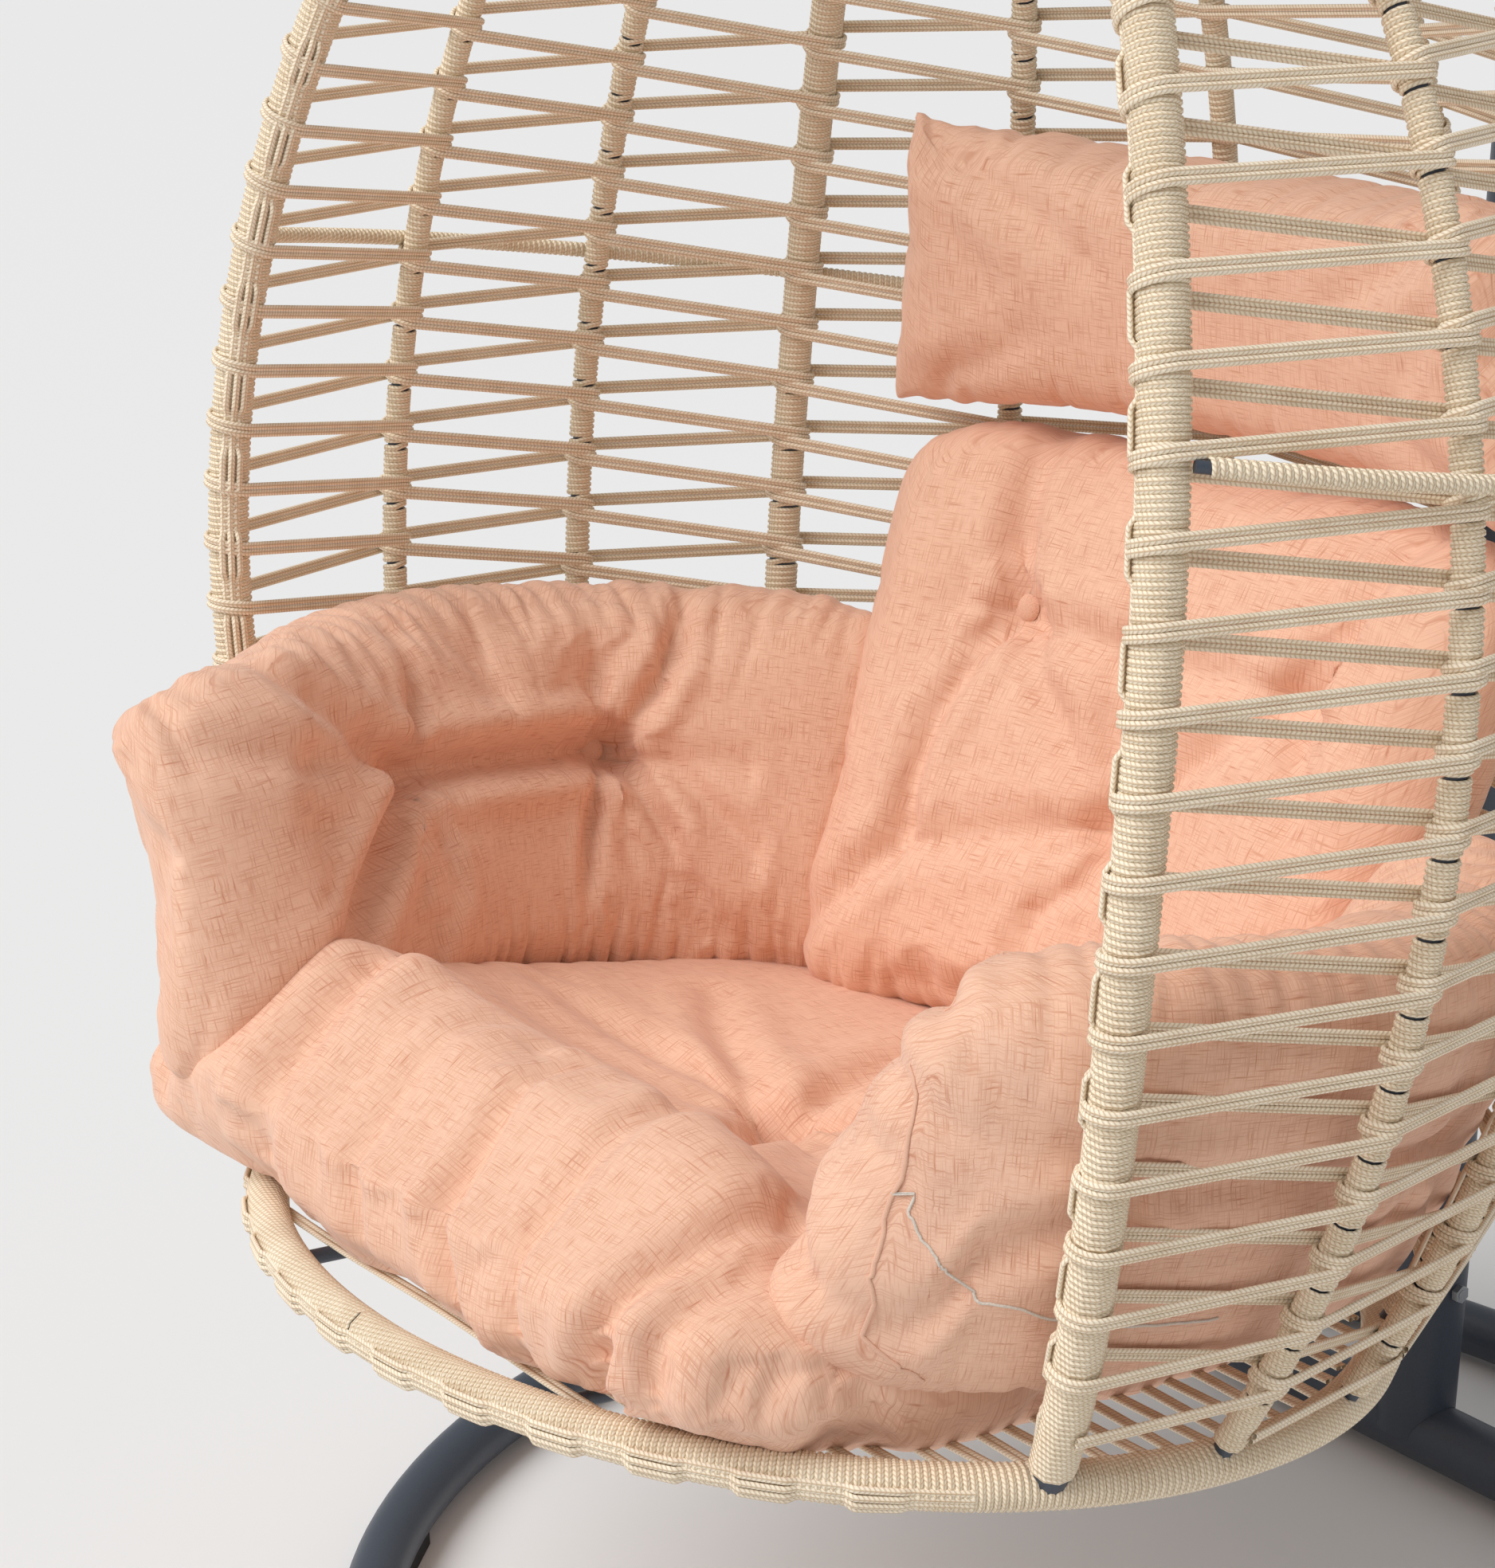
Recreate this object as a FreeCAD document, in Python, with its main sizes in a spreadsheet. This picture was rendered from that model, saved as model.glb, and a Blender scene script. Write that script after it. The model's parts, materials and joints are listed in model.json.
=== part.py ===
"""Hanging rope egg chair: a woven basket with cushions, hung by a spring from an arched post.

Millimetres, +Z up. The origin lies on the floor, midway between the basket's front edge and
the back of the base ring. The chair faces -Y. The basket is drawn upright about its bottom
ring and then leaned back as one piece.
"""
import FreeCAD, Part
import math
import os
from FreeCAD import Placement, Rotation, Vector

doc = FreeCAD.newDocument("hanging_egg_chair")
sheet = doc.addObject("Spreadsheet::Sheet", "sizes")

SIZES = [
    ("fit_gap", 0.3, "clearance between pieces that rest on each other"),
    ("weld_gap", 0.2, "clearance at coped and welded joints"),
    ("pivot_gap", 0.08, "radial clearance of a turning stem in its bore"),
    ("pad_height", 4, "floor to the underside of the base tubes"),
    ("pad_length", 70, "foot pad along the ring"),
    ("pad_width", 34, "foot pad across the ring"),
    ("pad_lip", 9, "how far the foot pad climbs the tube"),
    ("base_ring_radius", 514, "base ring, to the tube's centre line"),
    ("base_tube_dia", 42, "base ring tube"),
    ("base_tube_wall", 2, "base ring tube wall"),
    ("base_sleeve_length", 90, "inner sleeve where the two half rings meet"),
    ("base_set_back", 231, "base ring centre behind the basket's bottom ring"),
    ("cross_set_back", 349, "cross tube behind the base ring's centre"),
    ("cross_tube_dia", 50, "cross tube"),
    ("cross_tube_wall", 2, "cross tube wall"),
    ("socket_dia", 60, "post socket welded on the cross tube"),
    ("socket_wall", 2.5, "post socket wall"),
    ("socket_length", 230, "cross tube's axis to the socket's mouth"),
    ("post_lean", 4.8, "degrees that the post leans back"),
    ("post_wall", 2.5, "post tube wall"),
    ("post_seat", 60, "cross tube's axis to the post's lower end"),
    ("splice_at", 900, "cross tube's axis to the joint of post and arch"),
    ("spigot_length", 180, "inner sleeve that joins post and arch"),
    ("bend_start", 1400, "cross tube's axis to the start of the arch"),
    ("bend_radius", 450, "arch, to the tube's centre line"),
    ("arch_overhang", 60, "arch past the hanger, along the tube"),
    ("cap_lip", 5, "end cap's rim past the tube's end"),
    ("cap_plug", 24, "end cap's plug inside the tube"),
    ("cap_round", 3.5, "end cap's rounded edge"),
    ("bolt_dia", 8, "cross bolts of the post"),
    ("bolt_hole_dia", 8.6, "holes for the cross bolts"),
    ("bolt_head_height", 5.3, "hexagon head and nut height"),
    ("bolt_head_corner", 7.2, "hexagon head, centre to corner"),
    ("socket_bolt_low", 122, "cross tube's axis to the lower socket bolt"),
    ("socket_bolt_pitch", 60, "between the two bolts of a joint"),
    ("hang_set_back", 119.5, "hanger behind the basket's bottom ring"),
    ("eye_bar", 9, "eye bolt's bar"),
    ("eye_hole", 26, "eye bolt's hole"),
    ("shank_dia", 10, "eye bolt's shank"),
    ("hanger_nut_height", 8, "eye bolt's nut"),
    ("hanger_nut_corner", 9.8, "eye bolt's nut, centre to corner"),
    ("link_bar", 8, "oval link's bar"),
    ("link_width", 18, "oval link, inside width"),
    ("link_length", 44, "oval link, inside length"),
    ("swivel_bar", 9, "swivel eye's bar"),
    ("swivel_hole", 24, "swivel eye's hole"),
    ("barrel_dia", 30, "swivel barrel"),
    ("barrel_height", 32, "swivel barrel"),
    ("barrel_floor", 8, "swivel barrel's floor under the stem's head"),
    ("stem_dia", 12, "swivel stem"),
    ("stem_head_dia", 20, "swivel stem's head"),
    ("stem_head_height", 7, "swivel stem's head"),
    ("stem_drop", 10, "barrel to the spring's upper plug"),
    ("plug_flange_dia", 58, "spring plug's flange"),
    ("plug_flange_height", 8, "spring plug's flange"),
    ("plug_core_height", 16, "spring plug's core inside the coil"),
    ("spring_wire", 8, "spring's wire"),
    ("spring_mean_dia", 46, "spring, to the wire's centre line"),
    ("spring_turns", 9, "spring's turns"),
    ("spring_pitch", 11, "spring's rise in one turn"),
    ("hook_bar", 9, "basket ring's bar"),
    ("hook_hole", 30, "basket ring's hole"),
    ("bail_bar", 10, "basket bail's bar"),
    ("bail_width", 56, "basket bail, between its legs' centre lines"),
    ("ring_height", 382, "floor to the centre of the basket's bottom ring"),
    ("basket_tilt", 7, "degrees that the basket leans back"),
    ("ring_half_width", 389, "bottom ring, half its width"),
    ("ring_half_depth", 342, "bottom ring, half its depth"),
    ("belly_half_width", 511, "basket's widest place, half its width"),
    ("belly_half_depth", 426, "basket's widest place, half its depth"),
    ("belly_height", 430, "basket's widest place above the bottom ring"),
    ("shoulder_half_width", 428, "where the crown starts, half its width"),
    ("shoulder_half_depth", 357, "where the crown starts, half its depth"),
    ("shoulder_height", 780, "where the crown starts, above the bottom ring"),
    ("crown_height", 1080, "crown hub above the bottom ring"),
    ("hub_dia", 120, "crown hub"),
    ("hub_thickness", 34, "crown hub"),
    ("hub_wall", 5, "crown hub's plate and skirt"),
    ("rim_foot_angle", 69, "degrees from the front to a rim's foot"),
    ("rim_belly_angle", 63.5, "degrees from the front to a rim at the belly"),
    ("rib_first_angle", 87, "degrees from the front to the first rib"),
    ("rib_pitch_angle", 20.2, "degrees between ribs"),
    ("ring_tube_dia", 22, "bottom ring tube"),
    ("rim_tube_dia", 22, "front rim tube"),
    ("main_rib_dia", 19, "main rib tube"),
    ("thin_rib_dia", 12, "thin rib tube"),
    ("tube_wall", 1.5, "basket tube wall"),
    ("rope_thickness", 3, "rope wound round the tubes"),
    ("wrap_gap", 0.3, "rope to tube"),
    ("wrap_stop", 22, "wound rope ends this far below the crown hub's middle"),
    ("hoop_rod_dia", 7, "middle hoop rod"),
    ("hoop_rope", 2, "rope round the middle hoop"),
    ("hoop_height", 583, "middle hoop above the bottom ring"),
    ("hoop_dip", 25, "middle hoop's fall from the middle to the back"),
    ("floor_bar_dia", 10, "floor bar"),
    ("floor_bar_pitch", 260, "between the two floor bars"),
    ("strap_width", 8, "woven band: ropes side by side"),
    ("strap_thickness", 3, "woven band"),
    ("strap_turn", 11, "woven band, its step along a rib where it turns back"),
    ("weave_period", 42, "woven band's rise from one turn to the next on the same rib"),
    ("weave_start", 34, "first woven band above the bottom ring"),
    ("weave_stop", 170, "last woven band before the crown hub, along the rib"),
    ("floor_margin", 40, "first and last band of the floor inside the ring"),
    ("cushion_gap", 0.5, "cushions to the rope and to each other"),
    ("arm_settle", 2.3, "arm cushion settled into the wall's hollow"),
    ("back_clear", 4.6, "back cushion off the bands, which curve towards it above and below"),
    ("pillow_clear", -1.7, "head pillow off the bands, which curve away from it"),
    ("arm_thickness", 104, "arm cushion"),
    ("arm_height", 262, "arm cushion"),
    ("arm_middle_left", 225, "left arm cushion's middle above the bottom ring"),
    ("arm_middle_right", 222, "right arm cushion's middle above the bottom ring"),
    ("arm_reach", 170, "arm cushion past the rim, forwards"),
    ("arm_lead", 40, "straight part of the arm cushion's reach"),
    ("arm_flare", 40, "degrees that the arm cushion's front turns outwards"),
    ("arm_end_angle", 137, "degrees from the front to the arm cushion's back end"),
    ("arm_buttons_back", 150, "middle of an arm cushion's buttons behind the rim"),
    ("back_thickness", 120, "back cushion"),
    ("back_height", 410, "back cushion"),
    ("back_middle", 284, "back cushion's middle above the bottom ring"),
    ("back_half_angle", 35, "degrees that the back cushion spans each side"),
    ("pillow_thickness", 92, "head pillow"),
    ("pillow_height", 196, "head pillow"),
    ("pillow_middle", 607.7, "head pillow's middle above the bottom ring"),
    ("pillow_half_angle", 39, "degrees that the head pillow spans each side"),
    ("seat_thickness", 84, "seat cushion at its middle"),
    ("seat_roll", 128, "seat cushion at its front roll"),
    ("seat_half_width", 314, "seat cushion, half its width"),
    ("seat_front", 322, "seat cushion's front edge before the ring's centre"),
    ("seat_back", 240, "seat cushion's back edge behind the ring's centre"),
    ("seat_button_front", 32, "seat cushion's button before the ring's centre"),
    ("button_dia", 16, "covered button"),
    ("button_height", 7, "covered button"),
    ("button_round", 2.8, "covered button's rounded edge"),
    ("tuft_depth", 22, "sewn tuft"),
    ("tuft_radius", 52, "sewn tuft's hollow, as a ball"),
    ("button_spread", 224, "between a pair of buttons on an arm cushion"),
    ("back_button_rise", 67, "back cushion's upper buttons above its middle"),
    ("back_button_drop", 60, "back cushion's lower button below its middle"),
]
for row, (alias, number, meaning) in enumerate(SIZES, start=1):
    sheet.set(f"A{row}", meaning)
    sheet.set(f"B{row}", str(number))
    sheet.setAlias(f"B{row}", alias)
doc.recompute()


def size(alias):
    """A driving dimension, read back from the sheet."""
    return float(sheet.get(alias))


FIT = size("fit_gap")
WELD = size("weld_gap")
X_AXIS = Vector(1, 0, 0)
Y_AXIS = Vector(0, 1, 0)
Z_AXIS = Vector(0, 0, 1)
TILT = math.radians(size("basket_tilt"))
LEAN = math.radians(size("post_lean"))
parts = []


# Document objects

def keep(thing, label):
    """Name a finished sub-part: its label is its file's name."""
    thing.Label = label
    parts.append(thing)
    return thing


def bound(kind, name, placement=None, **expressions):
    """A primitive whose sizes follow the sheet through expressions."""
    thing = doc.addObject(kind, name)
    if placement:
        thing.Placement = placement
    for field, text in expressions.items():
        thing.setExpression(field, text)
    return thing


def cut(name, base, tool):
    """Base less tool."""
    thing = doc.addObject("Part::Cut", name)
    thing.Base = base
    thing.Tool = tool
    return thing


def join(name, shapes):
    """Several objects made one solid."""
    thing = doc.addObject("Part::MultiFuse", name)
    thing.Shapes = shapes
    return thing


def group(name, links):
    """Identical pieces that share one node."""
    thing = doc.addObject("Part::Compound", name)
    thing.Links = links
    return thing


def shaped(name, shape, placement=None):
    """A sub-part whose swept or lofted shape no primitive gives."""
    thing = doc.addObject("Part::Feature", name)
    thing.Shape = shape
    if placement:
        thing.Placement = placement
    return thing


def largest(shape):
    """The biggest solid of a cut, without the crumbs."""
    return max(shape.Solids, key=lambda solid: solid.Volume)


# Paths of tangent arcs

def arc_edge(start, tangent, end):
    """The arc that leaves start along tangent and reaches end."""
    chord = end - start
    along = Vector(chord).normalize()
    side = tangent - along * tangent.dot(along)
    if side.Length < 1e-6:
        return Part.LineSegment(start, end).toShape()
    half_turn = math.atan2(side.Length, tangent.dot(along))
    middle = (start + end) * 0.5 + side.normalize() * (chord.Length / 2 * math.tan(half_turn / 2))
    return Part.Arc(start, middle, end).toShape()


def biarc_edges(start, start_way, end, end_way):
    """Two tangent arcs between two points with given directions."""
    chord = end - start
    ways = start_way + end_way
    spread = 2 * (1 - start_way.dot(end_way))
    if spread < 1e-9:
        reach = chord.dot(chord) / (2 * chord.dot(ways))
    else:
        lean = chord.dot(ways)
        reach = (-lean + math.sqrt(lean * lean + spread * chord.dot(chord))) / spread
    joint = (start + end + (start_way - end_way) * reach) * 0.5
    joint_way = (end - end_way * reach) - (start + start_way * reach)
    joint_way.normalize()
    return [arc_edge(start, start_way, joint), arc_edge(joint, joint_way, end)]


def curve_wire(curve, stations, closed=False):
    """A wire of biarcs through curve(station), tangent to the curve at each station."""
    step = 1e-4 * (stations[-1] - stations[0])
    points = [curve(s) for s in stations]
    ways = [(curve(s + step) - curve(s - step)).normalize() for s in stations]
    if closed:
        points[-1] = points[0]
        ways[-1] = ways[0]
    edges = []
    for i in range(len(points) - 1):
        edges += biarc_edges(points[i], ways[i], points[i + 1], ways[i + 1])
    return Part.Wire(edges)


def spaced(first, last, count):
    """Evenly spaced numbers, both ends included."""
    return [first + (last - first) * i / (count - 1) for i in range(count)]


def rod(path, radius):
    """A round bar along a path."""
    start = path.OrderedEdges[0]
    way = start.tangentAt(start.FirstParameter)
    ring = Part.Wire([Part.makeCircle(radius, start.valueAt(start.FirstParameter), way)])
    return Part.Solid(path.makePipeShell([ring], True, False))


def pipe(path, outer, inner):
    """A round tube along a path."""
    return rod(path, outer).cut(rod(path, inner))


# Places that several pieces share

ring_wrap = size("ring_tube_dia") / 2 + size("rope_thickness")
base_reach = size("base_set_back") + size("base_ring_radius") + size("base_tube_dia") / 2
basket_front = size("ring_half_depth") * math.cos(TILT) + ring_wrap
basket_y = (basket_front - base_reach) / 2
basket = Placement(Vector(0, basket_y, size("ring_height")), Rotation(X_AXIS, -size("basket_tilt")))
base_centre_y = basket_y + size("base_set_back")
base_axis_z = size("pad_height") + size("base_tube_dia") / 2
cross_y = base_centre_y + size("cross_set_back")
cross_z = size("pad_height") + size("cross_tube_dia") / 2
post_turn = Rotation(X_AXIS, -size("post_lean"))
post_foot = Vector(0, cross_y, cross_z)
post_way = Vector(0, math.sin(LEAN), math.cos(LEAN))
post_radius = size("socket_dia") / 2 - size("socket_wall") - FIT
post_bore = post_radius - size("post_wall")
hang_y = basket_y + size("hang_set_back")


def along_post(distance):
    """A point on the post's axis, measured from the cross tube's axis."""
    return post_foot + post_way * distance


# Base: two half rings, their inner sleeves, cross tube and foot pads

def base_half(name, side, outer, inner):
    """Half of the base ring: a half turn of tube, open at both ends."""
    turn = Placement(Vector(0, base_centre_y, base_axis_z), Rotation(Z_AXIS, side * 90))
    tubes = []
    for layer, radius in (("outer", outer), ("inner", inner)):
        tubes.append(bound("Part::Torus", f"{name}_{layer}", turn, Radius1="sizes.base_ring_radius",
                           Radius2=radius, Angle3="180"))
    return cut(name, tubes[0], tubes[1])


keep(base_half("base_left", 1, "sizes.base_tube_dia / 2",
               "sizes.base_tube_dia / 2 - sizes.base_tube_wall"), "base_ring_left")
keep(base_half("base_right", -1, "sizes.base_tube_dia / 2",
               "sizes.base_tube_dia / 2 - sizes.base_tube_wall"), "base_ring_right")

sleeve_turn = "sizes.base_sleeve_length / sizes.base_ring_radius * 180 / pi"
sleeve_half_degrees = math.degrees(size("base_sleeve_length") / size("base_ring_radius")) / 2
sleeves = []
for place, middle in (("front", -90), ("back", 90)):
    turn = Placement(Vector(0, base_centre_y, base_axis_z),
                     Rotation(Z_AXIS, middle - sleeve_half_degrees))
    walls = []
    for layer, walls_in in (("outer", 1), ("inner", 2)):
        thickness = f"{walls_in} * sizes.base_tube_wall + sizes.fit_gap"
        walls.append(bound("Part::Torus", f"sleeve_{place}_{layer}", turn,
                           Radius1="sizes.base_ring_radius", Angle3=sleeve_turn,
                           Radius2=f"sizes.base_tube_dia / 2 - ({thickness})"))
    sleeves.append(cut(f"sleeve_{place}", *walls))
keep(group("base_sleeves", sleeves), "base_ring_sleeves")


def ring_clearance(name):
    """The base ring's outside, a weld's gap larger: what its neighbours are coped to."""
    return bound("Part::Torus", name, Placement(Vector(0, base_centre_y, base_axis_z), Rotation()),
                 Radius1="sizes.base_ring_radius", Radius2="sizes.base_tube_dia / 2 + sizes.weld_gap")


half_chord = math.sqrt(size("base_ring_radius") ** 2 - size("cross_set_back") ** 2)
cross_place = Placement(Vector(-half_chord, cross_y, cross_z), Rotation(Y_AXIS, 90))
chord_text = "2 * sqrt(sizes.base_ring_radius ^ 2 - sizes.cross_set_back ^ 2)"
cross_outer = bound("Part::Cylinder", "cross_outer", cross_place, Height=chord_text,
                    Radius="sizes.cross_tube_dia / 2")
cross_inner = bound("Part::Cylinder", "cross_inner", cross_place, Height=chord_text,
                    Radius="sizes.cross_tube_dia / 2 - sizes.cross_tube_wall")
cross_pipe = cut("cross_pipe", cross_outer, cross_inner)
keep(cut("cross", cross_pipe, ring_clearance("cross_cope")), "cross_tube")

PAD_ANGLES = (62, 118, 222, 318)
pads = []
for i, angle in enumerate(PAD_ANGLES):
    middle = Rotation(Z_AXIS, angle).multVec(Vector(size("base_ring_radius"), 0, 0))
    corner = Rotation(Z_AXIS, angle).multVec(Vector(-size("pad_width") / 2, -size("pad_length") / 2, 0))
    place = Placement(Vector(0, base_centre_y, 0) + middle + corner, Rotation(Z_AXIS, angle))
    block = bound("Part::Box", f"pad_block_{i}", place, Length="sizes.pad_width",
                  Width="sizes.pad_length", Height="sizes.pad_height + sizes.pad_lip")
    pads.append(cut(f"pad_{i}", block, ring_clearance(f"pad_cope_{i}")))
keep(group("pads", pads), "foot_pads")


# Post: socket, straight lower tube, joining sleeve and arch

def post_cylinder(name, start, length, radius):
    """A cylinder on the post's axis; start, length and radius are expressions of the sheet."""
    thing = bound("Part::Cylinder", name, Placement(post_foot, post_turn), Height=length, Radius=radius)
    thing.setExpression("Placement.Base.y", f"{post_foot.y} + ({start}) * sin(sizes.post_lean)")
    thing.setExpression("Placement.Base.z", f"{post_foot.z} + ({start}) * cos(sizes.post_lean)")
    return thing


def cross_hole(name, distance):
    """The hole of a bolt across the post, side to side."""
    reach = size("socket_dia")
    start = along_post(distance) - X_AXIS * reach
    return bound("Part::Cylinder", name, Placement(start, Rotation(Y_AXIS, 90)),
                 Radius="sizes.bolt_hole_dia / 2", Height="2 * sizes.socket_dia")


socket_bolts = [size("socket_bolt_low"), size("socket_bolt_low") + size("socket_bolt_pitch")]
splice_bolts = [size("splice_at") - size("socket_bolt_pitch") / 2,
                size("splice_at") + size("socket_bolt_pitch") / 2]
bolt_sites = socket_bolts + splice_bolts


def drilled(name, thing, distances):
    """The tube with its bolt holes."""
    holes = [cross_hole(f"{name}_hole_{i}", distance) for i, distance in enumerate(distances)]
    return cut(name, thing, group(f"{name}_holes", holes))


POST_OUTER = "sizes.socket_dia / 2 - sizes.socket_wall - sizes.fit_gap"
POST_INNER = f"{POST_OUTER} - sizes.post_wall"
socket_outer = post_cylinder("socket_outer", "0", "sizes.socket_length", "sizes.socket_dia / 2")
socket_inner = post_cylinder("socket_inner", "0", "sizes.socket_length",
                             "sizes.socket_dia / 2 - sizes.socket_wall")
socket_pipe = cut("socket_pipe", socket_outer, socket_inner)
cross_clear = bound("Part::Cylinder", "cross_clear", cross_place, Height=chord_text,
                    Radius="sizes.cross_tube_dia / 2 + sizes.weld_gap")
socket_coped = cut("socket_coped", socket_pipe, cross_clear)
keep(drilled("socket", socket_coped, socket_bolts), "post_socket")

lower_length = "sizes.splice_at - sizes.post_seat"
lower_outer = post_cylinder("lower_outer", "sizes.post_seat", lower_length, POST_OUTER)
lower_inner = post_cylinder("lower_inner", "sizes.post_seat", lower_length, POST_INNER)
lower_pipe = cut("lower_pipe", lower_outer, lower_inner)
keep(drilled("lower_post", lower_pipe, socket_bolts + splice_bolts[:1]), "post_lower")

spigot_start = "sizes.splice_at - sizes.spigot_length / 2"
spigot_outer = post_cylinder("spigot_outer", spigot_start, "sizes.spigot_length",
                             f"{POST_INNER} - sizes.fit_gap")
spigot_inner = post_cylinder("spigot_inner", spigot_start, "sizes.spigot_length",
                             f"{POST_INNER} - sizes.fit_gap - sizes.post_wall")
spigot_pipe = cut("spigot_pipe", spigot_outer, spigot_inner)
keep(drilled("spigot", spigot_pipe, splice_bolts), "post_spigot")

bend_side = Vector(0, -math.cos(LEAN), math.sin(LEAN))
bend_centre = along_post(size("bend_start")) + bend_side * size("bend_radius")
bend_frame = Rotation(Vector(0, math.cos(LEAN), -math.sin(LEAN)), post_way, X_AXIS, "XYZ")
hanger_rise = math.acos((hang_y - bend_centre.y) / size("bend_radius"))
arch_z = bend_centre.z + size("bend_radius") * math.sin(hanger_rise)
arch_half = post_radius / math.sin(hanger_rise)
arch_turn = hanger_rise + LEAN + size("arch_overhang") / size("bend_radius")
arch_layers = []
for layer, radius in (("outer", POST_OUTER), ("inner", POST_INNER)):
    straight = post_cylinder(f"arch_straight_{layer}", "sizes.splice_at + sizes.weld_gap",
                             "sizes.bend_start - sizes.splice_at - sizes.weld_gap", radius)
    bend = bound("Part::Torus", f"arch_bend_{layer}", Placement(bend_centre, bend_frame),
                 Radius1="sizes.bend_radius", Radius2=radius)
    bend.Angle3 = math.degrees(arch_turn)
    arch_layers.append(join(f"arch_{layer}", [straight, bend]))
arch_pipe = cut("arch_pipe", *arch_layers)
arch_drilled = drilled("arch_bolted", arch_pipe, splice_bolts[1:])
shank_hole = bound("Part::Cylinder", "shank_hole",
                   Placement(Vector(0, hang_y, arch_z - 2 * post_radius), Rotation()),
                   Height=f"4 * ({POST_OUTER})", Radius="sizes.shank_dia / 2 + sizes.fit_gap")
keep(cut("arch", arch_drilled, shank_hole), "post_arch")

end_angle = arch_turn - LEAN
end_point = bend_centre + Vector(0, math.cos(end_angle), math.sin(end_angle)) * size("bend_radius")
end_way = Vector(0, -math.sin(end_angle), math.cos(end_angle))
end_turn = Rotation(Z_AXIS, end_way)
cap_rim = bound("Part::Cylinder", "cap_rim", Placement(end_point + end_way * WELD, end_turn),
                Height="sizes.cap_lip", Radius=POST_OUTER)
cap_plug = bound("Part::Cylinder", "cap_plug", Placement(end_point - end_way * size("cap_plug"), end_turn),
                 Height="sizes.cap_plug + sizes.cap_lip / 2", Radius=f"{POST_INNER} - 2 * sizes.fit_gap")
cap_solid = join("cap_solid", [cap_rim, cap_plug])
cap_edge = doc.addObject("Part::Fillet", "cap_edge")
cap_edge.Base = cap_solid
doc.recompute()
rim_face = end_point + end_way * (WELD + size("cap_lip"))
for number, edge in enumerate(cap_solid.Shape.Edges, start=1):
    if edge.Closed and (edge.CenterOfMass - rim_face).Length < size("cap_lip") / 4:
        cap_edge.Edges = [(number, size("cap_round"), size("cap_round"))]
keep(cap_edge, "arch_end_cap")

bolts = []
nuts = []
for i, distance in enumerate(bolt_sites):
    outside = size("socket_dia") / 2 if distance < size("socket_length") else post_radius
    near = along_post(distance) - X_AXIS * (outside + FIT)
    far = along_post(distance) + X_AXIS * (outside + FIT)
    across = Rotation(Y_AXIS, 90)
    shank = bound("Part::Cylinder", f"bolt_shank_{i}", Placement(near, across), Radius="sizes.bolt_dia / 2")
    shank.Height = (far - near).Length + size("bolt_head_height") + FIT
    head = bound("Part::Prism", f"bolt_head_{i}", Placement(near - X_AXIS * size("bolt_head_height"), across),
                 Circumradius="sizes.bolt_head_corner", Height="sizes.bolt_head_height")
    bolts.append(join(f"bolt_{i}", [shank, head]))
    blank = bound("Part::Prism", f"nut_blank_{i}", Placement(far, across),
                  Circumradius="sizes.bolt_head_corner", Height="sizes.bolt_head_height")
    thread = bound("Part::Cylinder", f"nut_thread_{i}", Placement(far - X_AXIS, across),
                   Radius="sizes.bolt_dia / 2 + sizes.pivot_gap", Height="2 * sizes.bolt_head_height")
    nuts.append(cut(f"nut_{i}", blank, thread))
keep(group("bolts", bolts), "post_bolts")
keep(group("nuts", nuts), "post_nuts")


# Hanger: eye bolt, oval link, swivel, spring and basket ring, from the arch down

def ring_bar(name, centre, hole, bar, normal):
    """A closed ring of round bar."""
    return bound("Part::Torus", name, Placement(centre, Rotation(Z_AXIS, normal)),
                 Radius1=f"(sizes.{hole} + sizes.{bar}) / 2", Radius2=f"sizes.{bar} / 2")


hang = Vector(0, hang_y, 0)
eye_z = arch_z - arch_half - FIT - size("eye_hole") / 2 - size("eye_bar")
eye_ring = ring_bar("eye_ring", hang + Z_AXIS * eye_z, "eye_hole", "eye_bar", Y_AXIS)
shank_bottom = eye_z + size("eye_hole") / 2 + size("eye_bar") / 2
shank_top = arch_z + arch_half + 2 * FIT + size("hanger_nut_height") + FIT
eye_shank = bound("Part::Cylinder", "eye_shank", Placement(hang + Z_AXIS * shank_bottom, Rotation()),
                  Radius="sizes.shank_dia / 2")
eye_shank.Height = shank_top - shank_bottom
keep(join("eye_bolt", [eye_ring, eye_shank]), "hanger_eye_bolt")
nut_z = arch_z + arch_half + 2 * FIT
nut_blank = bound("Part::Prism", "hanger_nut_blank", Placement(hang + Z_AXIS * nut_z, Rotation()),
                  Circumradius="sizes.hanger_nut_corner", Height="sizes.hanger_nut_height")
nut_thread = bound("Part::Cylinder", "hanger_nut_thread",
                   Placement(hang + Z_AXIS * (nut_z - size("hanger_nut_height")), Rotation()),
                   Height="3 * sizes.hanger_nut_height", Radius="sizes.shank_dia / 2 + sizes.pivot_gap")
nut_bored = cut("hanger_nut_bored", nut_blank, nut_thread)
arch_clear = bound("Part::Torus", "arch_clear", Placement(bend_centre, bend_frame),
                   Radius1="sizes.bend_radius", Radius2=f"{POST_OUTER} + sizes.fit_gap")
keep(cut("hanger_nut_seated", nut_bored, arch_clear), "hanger_nut")

sway_z = eye_z - size("eye_hole") / 2 + FIT + size("link_bar") / 2
link_bend = (size("link_width") + size("link_bar")) / 2
link_top = sway_z - link_bend
link_bottom = sway_z - size("link_length") - size("link_bar") + link_bend


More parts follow.
